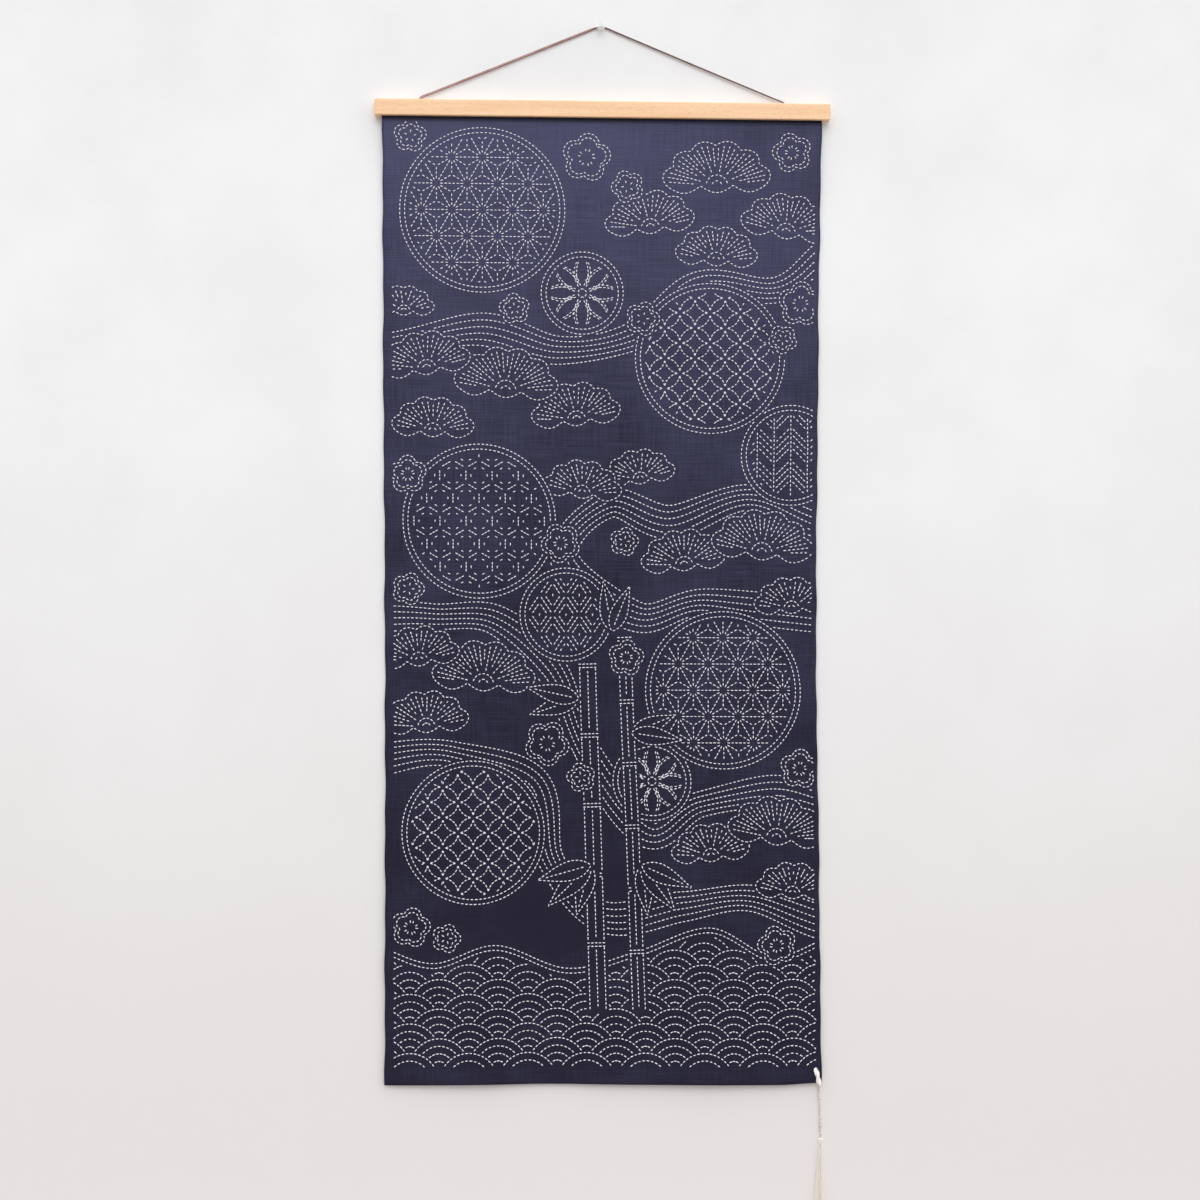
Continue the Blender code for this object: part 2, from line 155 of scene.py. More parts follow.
# Bamboo leaves: (u, h of the root, length, direction in degrees)
LEAVES = (
    (-14, -836, 62, 196), (-14, -836, 66, 224), (-14, -836, 58, 254), (44, -836, 60, -24),
    (44, -836, 62, -54), (44, -836, 56, -84), (-26, -650, 60, 168), (-26, -650, 58, 198),
    (34, -688, 58, -8), (34, -688, 54, 22), (12, -574, 54, 68), (12, -574, 56, 100),
)

# Bamboo canes: (foot u, foot h, head u, head h, half width, joints)
CANES = (
    (-6, -1000, -16, -610, 9.0, 5),
    (40, -1000, 26, -580, 7.0, 6),
)

# Streams: the middle line's points
STREAMS = (
    ((250, -150), (196, -190), (110, -190), (40, -240), (-50, -262), (-140, -236), (-250, -262)),
    ((250, -450), (170, -424), (80, -452), (10, -430), (-40, -492), (40, -560), (120, -540),
     (250, -560)),
    ((-250, -560), (-190, -560), (-120, -560), (-60, -616), (-20, -700), (50, -800), (110, -768),
     (190, -752), (250, -770)),
    ((-250, -720), (-170, -712), (-80, -742), (-60, -830), (0, -892), (90, -884), (170, -872),
     (250, -902)),
)

SEA_CREST = (
    (-250, -928), (-190, -946), (-120, -926), (-40, -952), (40, -932), (120, -906), (190, -938), (250, -920),
)

LINE_STEP = 1.0  # spacing of the points on a drawn line
STITCH_ROOM = 2.4  # bare cloth kept between a motif and what lies behind it
SHORTEST_LINE = 3.6
RING_GAP = 5.5  # between a roundel's two rings
FIELD_MARGIN = 4.0  # between the inner ring and its field
PETAL_GAP = 5.0  # between a blossom's two outlines
NEEDLE_GAP = 6.0  # between a pine's needles, along its rim
JOINT_GAP = 3.8  # between the two lines of a cane's joint
STRAND_GAP = 6.6  # between a stream's strands, which sway by SWAY
SWAY = 3.0
CREST_GAP = 5.4  # between the sea's two crest lines
FANS_BELOW = 10.0  # from the upper crest line down to the wave fans
PATTERN_LEFT, PATTERN_RIGHT = -236.0, 240.0
PATTERN_TOP, PATTERN_FOOT = -5.0, -1063.0


def arc(centre, radius, start, end):
    """Points on an arc between two angles in degrees."""
    count = max(2, int(abs(math.radians(end - start)) * radius / LINE_STEP) + 1)
    angles = np.radians(np.linspace(start, end, count))
    return np.stack((centre[0] + radius * np.cos(angles), centre[1] + radius * np.sin(angles)), axis=1)


def straight(start, end, trim=0.0, end_trim=None):
    """Points on a straight line whose ends are cut back."""
    start, end = np.array(start, float), np.array(end, float)
    end_trim = trim if end_trim is None else end_trim
    length = np.linalg.norm(end - start)
    if length <= trim + end_trim + LINE_STEP:
        return np.empty((0, 2))
    count = max(2, int((length - trim - end_trim) / LINE_STEP) + 1)
    runs = np.linspace(trim, length - end_trim, count)
    return start + runs[:, None] * (end - start) / length


def through(points):
    """A smooth curve through given points."""
    points = np.array(points, float)
    padded = np.vstack((2 * points[0] - points[1], points, 2 * points[-1] - points[-2]))
    parts = []
    for before, a, b, after in zip(padded, padded[1:], padded[2:], padded[3:]):
        share = np.linspace(0, 1, max(2, int(np.linalg.norm(b - a) / LINE_STEP)), endpoint=False)[:, None]
        parts.append(
            0.5 * (2 * a + (b - before) * share + (2 * before - 5 * a + 4 * b - after) * share**2
                   + (3 * a - before - 3 * b + after) * share**3)
        )
    return np.vstack((*parts, points[-1:]))


def run_of(line):
    """Length run from the line's start to each of its points."""
    return np.concatenate(([0.0], np.cumsum(np.linalg.norm(np.diff(line, axis=0), axis=1))))


def sideways(line):
    """Unit vectors to the left of an open line."""
    along = np.gradient(line, axis=0)
    return np.stack((-along[:, 1], along[:, 0]), axis=1) / np.linalg.norm(along, axis=1)[:, None]


def placed(points, degrees, centre):
    angle = math.radians(degrees)
    turn = np.array(((math.cos(angle), math.sin(angle)), (-math.sin(angle), math.cos(angle))))
    return points @ turn + np.array(centre)


def set_down(outline, lines, turn, centre):
    """(outline, lines) of a motif drawn about the origin, turned and put in its place."""
    return placed(outline, turn, centre), [placed(line, turn, centre) for line in lines]


def closed(outline):
    return np.vstack((outline, outline[:1]))


def anticlockwise(outline):
    ahead = np.roll(outline, -1, axis=0)
    area = np.sum(outline[:, 0] * ahead[:, 1] - ahead[:, 0] * outline[:, 1])
    return outline if area > 0 else outline[::-1]


def widened(outline, distance):
    """An anticlockwise outline moved outwards by a distance."""
    along = np.roll(outline, -1, axis=0) - np.roll(outline, 1, axis=0)
    length = np.maximum(np.linalg.norm(along, axis=1), 1e-6)
    return outline + distance * np.stack((along[:, 1], -along[:, 0]), axis=1) / length[:, None]


def inside(points, outline):
    """Which points lie inside a closed outline."""
    low, high = outline.min(axis=0), outline.max(axis=0)
    found = np.zeros(len(points), bool)
    near = np.flatnonzero(np.all((points >= low) & (points <= high), axis=1))
    if not len(near):
        return found
    u, h = points[near, 0][:, None], points[near, 1][:, None]
    a, b = outline, np.roll(outline, -1, axis=0)
    spans = (a[:, 1] > h) != (b[:, 1] > h)
    with np.errstate(divide="ignore", invalid="ignore"):
        crossing = a[:, 0] + (h - a[:, 1]) * (b[:, 0] - a[:, 0]) / (b[:, 1] - a[:, 1])
    found[near] = (np.sum(spans & (u < crossing), axis=1) % 2).astype(bool)
    return found


def kept_parts(lines, wanted):
    """The stretches of the lines whose points pass the test, leaving out those too short to stitch."""
    lines = [line for line in lines if len(line) > 1]
    if not lines:
        return []
    owner = np.repeat(np.arange(len(lines)), [len(line) for line in lines])
    points = np.vstack(lines)
    good = wanted(points)
    cuts = np.flatnonzero((owner[1:] != owner[:-1]) | (good[1:] != good[:-1])) + 1
    parts = []
    for part, ok in zip(np.split(points, cuts), np.split(good, cuts)):
        if ok[0] and len(part) > 1 and run_of(part)[-1] >= SHORTEST_LINE:
            parts.append(part)
    return parts


def filling(outline, field, margin):
    """The field's lines inside an outline, kept clear of it by the margin."""
    inner = widened(outline, -margin)
    return kept_parts(field, lambda points: inside(points, inner))


def lattice(centre, across, up, rows, columns):
    """Middles of a field's cells, row by row; every second row stands half a cell aside."""
    for row in range(-rows, rows + 1):
        for column in range(-columns, columns + 1):
            yield np.array(centre) + (across * (column + 0.5 * (row % 2)), up * row)


def net(middles, rings):
    """Straight lines about each middle; rings: (corners about it, how many sides are drawn, trim)."""
    lines = []
    for middle in middles:
        for about, sides, trim in rings:
            corners = middle + about
            lines += [straight(corners[index], corners[index + 1], trim) for index in range(sides)]
    return lines


def hemp_leaf(centre, reach, side=34.0):
    """Asanoha: equilateral triangles with three spokes from the middle of each."""
    height = side * math.sqrt(3) / 2
    lines = []
    for corner in lattice(centre, side, height, int(reach / height) + 1, int(reach / side) + 2):
        right, above, below = corner + ((side, 0), (side / 2, height), (side / 2, -height))
        lines += [straight(corner, end, 3.4) for end in (right, above, below)]
        for third in (above, below):
            middle = (corner + right + third) / 3
            lines += [straight(middle, point, 0.8, 4.2) for point in (corner, right, third)]
    return lines


def linked_rings(centre, reach, radius=17.0):
    """Shippo: circles that overlap by quarters."""
    count = int(reach / radius) + 1
    lines = []
    for row in range(-count, count + 1):
        for column in range(-count, count + 1):
            middle = np.array(centre) + ((column - row) * radius, (column + row) * radius)
            if np.linalg.norm(middle - centre) <= reach + radius:
                lines += [arc(middle, radius, start + 7, start + 83) for start in (0, 90, 180, 270)]
    return lines


def tortoiseshell(centre, reach, side=17.0):
    """Kikko: hexagons, each holding two smaller ones."""
    across = side * math.sqrt(3)
    count = int(reach / across) + 2
    turns = np.radians(np.arange(0, 420, 60))
    hexagon = side * np.stack((np.sin(turns), np.cos(turns)), axis=1)
    rings = ((hexagon, 3, 2.3), (0.62 * hexagon, 6, 1.4), (0.26 * hexagon, 6, 0.6))
    return net(lattice(centre, across, 1.5 * side, count, count), rings)


def arrow_feathers(centre, reach, width=19.0, gap=7.4):
    """Yabane: columns of slanting lines whose slant turns about from one column to the next."""
    lines = []
    columns, rows = int(reach / width) + 1, int(reach / gap) + 3
    for column in range(-columns, columns + 1):
        left = centre[0] + column * width
        lines.append(straight((left, centre[1] - reach), (left, centre[1] + reach)))
        lean = width / 2 if column % 2 else -width / 2
        for row in range(-rows, rows + 1):
            if row % 5 == 4:
                continue
            middle = centre[1] + row * gap
            lines.append(straight((left, middle - lean), (left + width, middle + lean), 2.6))
    return lines


def diamonds(centre, reach, width=30.0, height=44.0):
    """Hishi: a net of diamonds, each holding a smaller one and an upright stitch."""
    outer = np.array(((width / 2, 0), (0, height / 2), (-width / 2, 0), (0, -height / 2), (width / 2, 0)))
    rows, columns = int(reach / height) + 1, int(reach / width) + 1
    rings = ((outer, 2, 2.2), (0.6 * outer, 4, 1.2), (np.array(((0, -3.4), (0, 3.4))), 1, 0.0))
    return net(lattice(centre, width, 0.5 * height, 2 * rows, columns), rings)


def thread_ball(centre, reach, petals=8):
    """Temari: pointed petals wound across a ball, with bands between them."""
    lines = []
    for index in range(petals):
        start = 360 * index / petals
        for side in (-1, 1):
            for inset in (0.0, 6.0):
                share = np.linspace(0.14 + 0.012 * inset, 0.97 - 0.02 * inset, int(reach))
                half = (0.40 * reach - 0.9 * inset) * np.sin(math.pi * share) / 2
                petal = np.stack((reach * share, side * half), axis=1)
                lines.append(placed(petal, start, centre))
    lines.append(arc(centre, 0.10 * reach, 0, 360))
    return lines


def wave_fans(low, high, radius=33.0, gap=8.4):
    """Seigaiha: fans of arcs in staggered rows, each row in front of the one above it."""
    rise = radius / 2
    lines = []
    for row in range(int((high[1] - low[1]) / rise) + 2):
        for column in range(-1, int((high[0] - low[0]) / radius) + 2, 2):
            middle = np.array((low[0] + (column + row % 2) * radius, low[1] + (row - 1) * rise))
            fronts = (middle + (-radius, -rise), middle + (radius, -rise), middle + (0, -2 * rise))

            def shows(points, fronts=fronts):
                nearest = np.min([np.linalg.norm(points - front, axis=1) for front in fronts], axis=0)
                return nearest > radius + 0.7 * STITCH_ROOM

            lines += kept_parts([arc(middle, radius - step * gap, 0, 180) for step in range(4)], shows)
    return lines


FIELDS = {
    "hemp leaf": hemp_leaf, "linked rings": linked_rings, "tortoiseshell": tortoiseshell,
    "arrow feathers": arrow_feathers, "diamonds": diamonds, "thread ball": thread_ball,
}


def roundel(field, u, h, radius):
    """(outline, lines) of a roundel: two rings round an all-over field."""
    rings = [arc((u, h), radius, 0, 360), arc((u, h), radius - RING_GAP, 0, 360)]
    return rings[0][:-1], rings + filling(rings[1][:-1], FIELDS[field]((u, h), radius), FIELD_MARGIN)


def pine(u, h, radius, turn, lobes=6):
    """(outline, lines) of a clump of pine: a scalloped half round with needles fanning from its foot."""
    def rim(angle):
        return radius * (0.92 + 0.11 * np.abs(np.sin(lobes * angle)))

    squat = np.array((1.0, 0.82))
    angles = np.linspace(0, math.pi, int(math.pi * radius) + 1)
    top = rim(angles)[:, None] * np.stack((np.cos(angles), np.sin(angles)), axis=1) * squat
    across = np.linspace(-0.92, 0.92, int(1.8 * radius))[1:-1]
    foot = radius * np.stack((across, -0.13 * np.abs(np.sin(1.5 * math.pi * (across / 0.92 + 1)))), axis=1)
    outline = np.vstack((top, foot))
    lines = [closed(outline)]
    needles = int(math.pi * 0.86 * radius / NEEDLE_GAP)
    for index in range(1, needles):
        angle = math.pi * index / needles
        way = np.array((math.cos(angle), math.sin(angle))) * squat
        start = (0.30, 0.56, 0.42, 0.56)[index % 4] * radius
        lines.append(straight(start * way, (rim(angle) - 4.8) * way))
    for share in (0.09, 0.20):
        lines.append(arc((0, 0), share * radius, 8, 172))
    return set_down(outline, lines, turn, (u, h))


def blossom(u, h, radius, turn):
    """(outline, lines) of a five-petalled plum blossom seen face on."""
    def petals(size):
        angles = np.linspace(0, 360, max(30, int(2 * math.pi * size)), endpoint=False)
        away = np.radians(np.abs((angles + 36) % 72 - 36))
        middle, petal = 0.56 * size, 0.44 * size
        bulge = np.sqrt(np.maximum(petal**2 - (middle * np.sin(away)) ** 2, 0))
        reach = middle * np.cos(away) + bulge
        return np.stack((reach * np.cos(np.radians(angles)), reach * np.sin(np.radians(angles))), axis=1)

    outline = petals(radius)
    lines = [closed(outline), closed(petals(radius - PETAL_GAP))]
    for index in range(5):
        for aside in (-14, 14) if radius > 19 else (0,):
            angle = math.radians(72 * index + aside)
            way = np.array((math.cos(angle), math.sin(angle)))
            lines.append(straight(0.17 * radius * way, 0.45 * radius * way))
    return set_down(outline, lines, turn, (u, h))


def leaf(u, h, length, turn):
    """(outline, lines) of a bamboo leaf with its midrib."""
    share = np.linspace(0, 1, int(length) + 1)
    half = 0.19 * length * np.sin(math.pi * share**0.75) * (1 - 0.25 * share)
    lower = np.stack((share * length, -half), axis=1)
    upper = np.stack((share * length, half), axis=1)
    outline = np.vstack((lower, upper[::-1][1:-1]))
    lines = [closed(outline), straight((0.12 * length, 0), (0.86 * length, 0))]
    return set_down(outline, lines, turn, (u, h))


def cane(foot_u, foot_h, head_u, head_h, half_width, joints):
    """(outline, lines) of a bamboo cane: sides and a middle line between double joints."""
    foot, head = np.array((foot_u, foot_h), float), np.array((head_u, head_h), float)
    section = (head - foot) / joints
    along = section / np.linalg.norm(section)
    aside = half_width * np.array((-along[1], along[0]))
    joint_reach = aside * (1 + 2.0 / half_width)
    lines = []
    for joint in range(joints):
        low = foot + joint * section + 1.5 * along
        high = foot + (joint + 1) * section - 5.0 * along
        for side, trim in ((-1, 0.0), (0, 3.0), (1, 0.0)):
            lines.append(straight(low + side * aside, high + side * aside, trim))
        for lift in (0.0, JOINT_GAP):
            lines.append(straight(high + lift * along - joint_reach, high + lift * along + joint_reach))
    corners = (foot - aside, head - aside, head + aside, foot + aside)
    outline = np.vstack([straight(a, b) for a, b in zip(corners, corners[1:] + corners[:1])])
    return anticlockwise(outline), lines


def stream(points, strands=6):
    """(outline, lines) of running water: strands that sway side by side."""
    middle = through(points)
    normal = sideways(middle)
    run = run_of(middle)

    def strand(index, beyond=0.0):
        place = (index - (strands - 1) / 2) * STRAND_GAP + beyond
        return middle + normal * (place + SWAY * np.sin(run / 34.0 + 0.35 * index))[:, None]

    outline = np.vstack((strand(0, -2.0), strand(strands - 1, 2.0)[::-1]))
    return anticlockwise(outline), [strand(index) for index in range(strands)]


def sea():
    """(outline, lines) of the sea: wave fans under a double crest line."""
    crest = through(SEA_CREST)
    floor = PATTERN_FOOT
    outline = anticlockwise(np.vstack((crest, ((crest[-1][0], floor), (crest[0][0], floor)))))
    fans = wave_fans(outline.min(axis=0), outline.max(axis=0))
    under = kept_parts(fans, lambda points: points[:, 1] < np.interp(points[:, 0], *crest.T) - FANS_BELOW)
    return outline, [crest, crest - (0, CREST_GAP)] + under


def pattern_lines():
    """Every line to stitch: each motif's own lines, cut where the motifs in front of it lie."""
    motifs = []
    for maker, rows in (
        (blossom, BLOSSOMS), (leaf, LEAVES), (cane, CANES), (roundel, ROUNDELS), (pine, PINES),
    ):
        motifs += [maker(*row) for row in rows]
    motifs.append(sea())
    motifs += [stream(points) for points in STREAMS]
    shown = []
    fronts = []
    for outline, lines in motifs:
        def clear(points, fronts=tuple(fronts)):
            u, h = points.T
            good = (u > PATTERN_LEFT) & (u < PATTERN_RIGHT) & (h < PATTERN_TOP) & (h > PATTERN_FOOT)
            for front in fronts:
                good &= ~inside(points, front)
            return good

        shown += kept_parts(lines, clear)
        fronts.append(widened(outline, STITCH_ROOM))
    return shown


# === The hanging cloth's surface ===


def smooth(share):
    """A share held between 0 and 1, and eased at both ends."""
    share = np.clip(share, 0, 1)
    return share * share * (3 - 2 * share)


def eased(rows, at, column):
    """A table's column at the given first-column places, eased from row to row."""
    table = np.array(rows)
    at = np.clip(at, table[0, 0], table[-1, 0])
    upper = np.clip(np.searchsorted(table[:, 0], at), 1, len(table) - 1)
    lower = upper - 1
    share = smooth((at - table[lower, 0]) / (table[upper, 0] - table[lower, 0]))
    return table[lower, column] + share * (table[upper, column] - table[lower, column])


def fold_depth(x, drop):
    """y of the middle of the cloth with its soft folds and its selvedges, which curl back to the wall."""
    y = np.full(np.shape(x), float(CLOTH_Y))
    for side, foot, least in CURL_EASING:
        inward = np.abs(x - eased(SIDE_EDGES, drop, side))
        share = np.clip(drop / CLOTH_DROP, 0, 1)
        curl = np.clip((share - 0.01) / 0.09, 0, 1) * (1 - (1 - least) * np.clip((share - foot) / 0.2, 0, 1))
        y += CURL_REACH * curl * np.clip(1 - inward / CURL_WIDTH, 0, 1) ** 2
    for crest, half_width, reach, start in FOLDS:
        across = np.clip((x - crest) / half_width, -1, 1)
        down = smooth((drop - start) / (CLOTH_DROP - start))
        y -= reach * np.cos(across * math.pi / 2) ** 2 * down
    return y


def fine_relief(x, drop):
    """Small unevenness of washed, stitched cotton: puckers, creases and the hem's thickness showing."""
    puckers = np.array([
        sum(weight * noise.noise((a / width, b / height, layer)) for width, height, weight, layer in PUCKERS)
        for a, b in zip(np.ravel(x), np.ravel(drop))
    ]).reshape(np.shape(x))
    free = np.clip(drop / 0.05, 0, 1) * np.clip((drop + CLAMPED) / 0.03, 0, 1)
    relief = PUCKER_DEPTH * puckers * free
    for x0, drop0, x1, drop1, half_width, depth in CREASES:
        way = np.array((x1 - x0, drop1 - drop0))
        length = np.linalg.norm(way)
        along = ((x - x0) * way[0] + (drop - drop0) * way[1]) / length**2
        across = ((x - x0) * way[1] - (drop - drop0) * way[0]) / length
        fade = np.sin(math.pi * np.clip(along, 0, 1)) ** 0.7
        relief += depth * np.exp(-((across / half_width) ** 2)) * fade
    return relief - 0.25 * MM * smooth((drop - (CLOTH_DROP - HEM_HEIGHT - 1.5 * MM)) / (3 * MM))


def height_at(x, share, drop):
    """z of the cloth, which hangs from a leaning bar and ends in an uneven hem."""
    near_hem = np.clip((drop - 0.8 * CLOTH_DROP) / (0.2 * CLOTH_DROP), 0, 1)
    lean = math.tan(BAR_TILT) * (x - BAR_CENTRE_X)
    return BAR_BOTTOM - drop - lean - eased(HEM_EDGE, share, 1) * near_hem


def cloth_front(share, drop):
    """Points on the cloth's front face, at shares of its width and drops below the bar."""
    share, drop = np.broadcast_arrays(np.asarray(share, float), np.asarray(drop, float))
    left, right = eased(SIDE_EDGES, drop, 1), eased(SIDE_EDGES, drop, 2)
    wobble = 0.35 * MM * (np.sin(drop / 0.0093) + np.sin(drop / 0.0217 + 1.7)) * (2 * share - 1) ** 9
    x = left + share * (right - left) + wobble
    y = fold_depth(x, drop) - CAD_CLOTH_THICKNESS / 2 + fine_relief(x, drop)
    return np.stack((x, y, height_at(x, share, drop)), axis=-1)


def on_cloth(line):
    """A pattern line carried onto the cloth's front face, with the face's normals."""
    share = (line[:, 0] + PATTERN_WIDTH / 2) / PATTERN_WIDTH
    drop = -line[:, 1] * MM
    here = cloth_front(share, drop)
    beside = cloth_front(share + 0.004, drop) - here
    below = cloth_front(share, drop + 0.002) - here
    normal = np.cross(below, beside)
    return here, normal / np.linalg.norm(normal, axis=1)[:, None]


# === Routes of the lace, the loop and the tassel's cord ===

LACE_REACH = 208 * MM
NEEDLE_RADIUS = 0.6 * MM
PIN_WAIST_RADIUS = 2.6 * MM
PIN_STAND_OFF = 3.2 * MM
EYELET_FROM_SIDE = 6.5 * MM
EYELET_ABOVE_EDGE = 14.5 * MM
LOOP_RADIUS = 2.3 * MM
LOOP_PLY_RADIUS = 1.6 * MM
LOOP_LAY = 1.25 * MM
LOOP_PITCH = 19 * MM
CORD_LENGTH = 59.2 * MM
CORD_PLY_RADIUS = 0.76 * MM
CORD_LAY = 1.0 * MM
CORD_PITCH = 8.6 * MM


def smooth_curve(route, spacing):
    """Evenly spaced points on a smooth curve through the route's own points."""
    route = np.array(route, float)
    padded = np.vstack((2 * route[0] - route[1], route, 2 * route[-1] - route[-2]))
    fine = []
    for before, start, end, after in zip(padded, padded[1:], padded[2:], padded[3:]):
        reach = np.linalg.norm(end - start)
        leave = (end - before) * reach / (reach + np.linalg.norm(start - before))
        arrive = (after - start) * reach / (reach + np.linalg.norm(after - end))
        for share in np.linspace(0, 1, 24, endpoint=False):
            square, cube = share**2, share**3
            fine.append(
                (2 * cube - 3 * square + 1) * start + (cube - 2 * square + share) * leave
                + (3 * square - 2 * cube) * end + (cube - square) * arrive
            )
    fine = np.array([*fine, route[-1]])
    run = run_of(fine)
    stops = np.linspace(0, run[-1], max(3, round(run[-1] / spacing) + 1))
    return np.stack([np.interp(stops, run, fine[:, axis]) for axis in range(3)], axis=1)


def lace_route(thickness):
    """Up out of the left slot, over the needle between pin and wall, and down into the right slot."""
    over_needle = NEEDLE_RADIUS + 0.1 * MM + thickness / 2
    in_bar = -STRIP_DEPTH / 2
    on_needle = -PIN_STAND_OFF / 2

    def leg(side):
        hole_x = BAR_CENTRE_X + side * LACE_REACH
        top = BAR_TOP - math.tan(BAR_TILT) * (hole_x - BAR_CENTRE_X)
        points = [
            (hole_x, in_bar, top - 7.5 * MM),
            (hole_x - side * 0.2 * MM, in_bar, top - 4.0 * MM),
            (hole_x - side * 1.4 * MM, in_bar, top - 1.0 * MM),
        ]
        # The left leg leaves its slot steeper, drawn that way by the bar's lean.
        lift = (3.3 - 0.6 * side) * MM
        leaves = np.array((hole_x - side * 5.0 * MM, in_bar, top + lift))
        meets = np.array((side * 6.5 * MM, on_needle, over_needle - 1.3 * MM))
        for share in (0.0, 0.06, 0.25, 0.5, 0.75, 0.94, 1.0):
            points.append(tuple(leaves + share * (meets - leaves)))
        return points

    return leg(-1) + [(0.0, on_needle, over_needle)] + leg(1)[::-1]


def hem_corner():
    """x and z of the hem's right corner."""
    x = SIDE_EDGES[-1][2]
    return x, float(height_at(x, 1.0, CLOTH_DROP))


def eyelet_centre():
    corner_x, corner_z = hem_corner()
    x = corner_x - EYELET_FROM_SIDE
    y = float(fold_depth(x, CLOTH_DROP - EYELET_ABOVE_EDGE))
    return np.array((x, y, corner_z + EYELET_ABOVE_EDGE))


def loop_route():
    """From under the hem up the front, through the eyelet, and down the back to under the hem."""
    corner_x, corner_z = hem_corner()
    eye_x, eye_y, eye_z = eyelet_centre()
    middle = eye_y + HEM_EXTRA / 2
    turn = (CAD_CLOTH_THICKNESS + HEM_EXTRA) / 2 + GAP + LOOP_RADIUS
    join_x = corner_x - 2.8 * MM
    # One side's points: (x, how far from the middle, z), from under the hem to the eyelet
    side = (
        (join_x, LOOP_RADIUS + GAP / 2, corner_z - 1.6 * MM),
        (join_x - 0.3 * MM, turn - 0.2 * MM, corner_z - 0.4 * MM),
        (join_x - 1.3 * MM, turn + 0.1 * MM, corner_z + 4.0 * MM),
        (eye_x + 0.8 * MM, turn, eye_z - 0.75 * turn),
        (eye_x, 0.7 * turn, eye_z - 0.24 * turn),
    )
    front = [(x, middle - away, z) for x, away, z in side]
    back = [(x, middle + away, z) for x, away, z in side[::-1]]
    return front + [(eye_x, middle, eye_z)] + back


def cord_route():
    """The hanging cord, from just under the loop's two ends down to the knot."""
    route = loop_route()
    top = (np.array(route[0]) + np.array(route[-1])) / 2
    top[2] -= GAP
    sway = ((0.0, 0.0), (0.2, 0.15 * MM), (0.45, 1.1 * MM), (1.0, 1.5 * MM))
    return [top + np.array((aside, 0, -share * CORD_LENGTH)) for share, aside in sway]


# === Materials ===


def linear(code):
    """Linear RGBA of an sRGB hex colour."""
    parts = [int(code[index : index + 2], 16) / 255 for index in (1, 3, 5)]
    return (*(part / 12.92 if part <= 0.04045 else ((part + 0.055) / 1.055) ** 2.4 for part in parts), 1.0)


# Nodes that are used often: (kind, settings, its inputs in the order of the values, its output)
NODE_KINDS = {
    "ease": ("ShaderNodeMapRange", {"interpolation_type": "SMOOTHSTEP"}, range(5), 0),
    "mix": ("ShaderNodeMix", {"data_type": "RGBA"}, (0, 6, 7), 2),
    "noise": ("ShaderNodeTexNoise", {}, ("Vector", "Scale", "Detail", "Roughness"), "Fac"),
    "stretch": ("ShaderNodeMapping", {}, ("Vector", "Scale"), 0),
    "bump": ("ShaderNodeBump", {}, ("Height", "Distance", "Strength"), 0),
    "place": ("ShaderNodeTexCoord", {}, (), "Object"),
}
MATHS = (
    "ADD", "SUBTRACT", "MULTIPLY", "DIVIDE", "MAXIMUM", "ROUND", "ABSOLUTE", "EXPONENT", "SINE", "COSINE",
)
NODE_KINDS |= {name: ("ShaderNodeMath", {"operation": name}, (0, 1), 0) for name in MATHS}


def fill(node, inputs):
    """Sets a node's inputs to values, or links them to sockets."""
    for key, value in inputs.items():
        if isinstance(value, bpy.types.NodeSocket):
            node.id_data.links.new(value, node.inputs[key])
        else:
            node.inputs[key].default_value = value


def add_node(tree, kind, *values, **settings):
    """Adds a node with its settings and links, and returns an output; the values may be one dictionary."""
    kind, fixed, inputs, output = NODE_KINDS.get(kind, (kind, {}, range(3), 0))
    node = tree.nodes.new(kind)
    for name, value in {**fixed, **settings}.items():
        setattr(node, name, value)
    named = len(values) == 1 and isinstance(values[0], dict)
    fill(node, values[0] if named else dict(zip(inputs, values)))
    return node.outputs[output]


def new_material(name):
    """A new material, and the function that adds nodes to it."""
    material = bpy.data.materials.new(name)
    material.use_nodes = True
    return material, partial(add_node, material.node_tree)


def shaded(material, inputs):
    """The material, with its Principled shader's own inputs set or linked."""
    fill(material.node_tree.nodes["Principled BSDF"], inputs)
    return material


# Warp and weft are about 0.5 mm apart; they are drawn wider so that they show.
DRAWN_THREAD_PITCH = 0.9 * MM


def thread_wave(add, uv, place, stretch):
    """A wave across one set of the weave's threads, which wander a little."""
    wander = add("noise", add("stretch", uv, stretch), 1.0, 2.0)
    phase = add("MULTIPLY", place, 2 * math.pi / DRAWN_THREAD_PITCH)
    return add("SINE", add("ADD", phase, add("MULTIPLY", wander, 7.0)))


def painted_hollow_and_side_shade(add, across, up):
    """How much painted shade darkens the cloth: in a broad hollow left of the middle, and at the top's right
    side.
    """
    middle = add("ease", up, -0.75, -0.20, -0.05, -0.01)
    reach = add("ease", up, -0.75, -0.20, 0.10, 0.05)
    aside = add("ABSOLUTE", add("DIVIDE", add("SUBTRACT", across, middle), reach))
    hollow = add("ease", aside, 0.5, 1.5, 1.0, 0.0)
    hollow = add("MULTIPLY", hollow, add("ease", up, -0.30, -0.12, 1.0, 0.0))
    hollow = add("MULTIPLY", hollow, add("ease", up, -1.0, -0.85, 0.0, 1.0))
    away = add("MULTIPLY", add("ease", across, -0.06, 0.25), add("ease", up, -0.17, 0.0))
    return add("ADD", add("MULTIPLY", hollow, 0.085), add("MULTIPLY", away, 0.36))


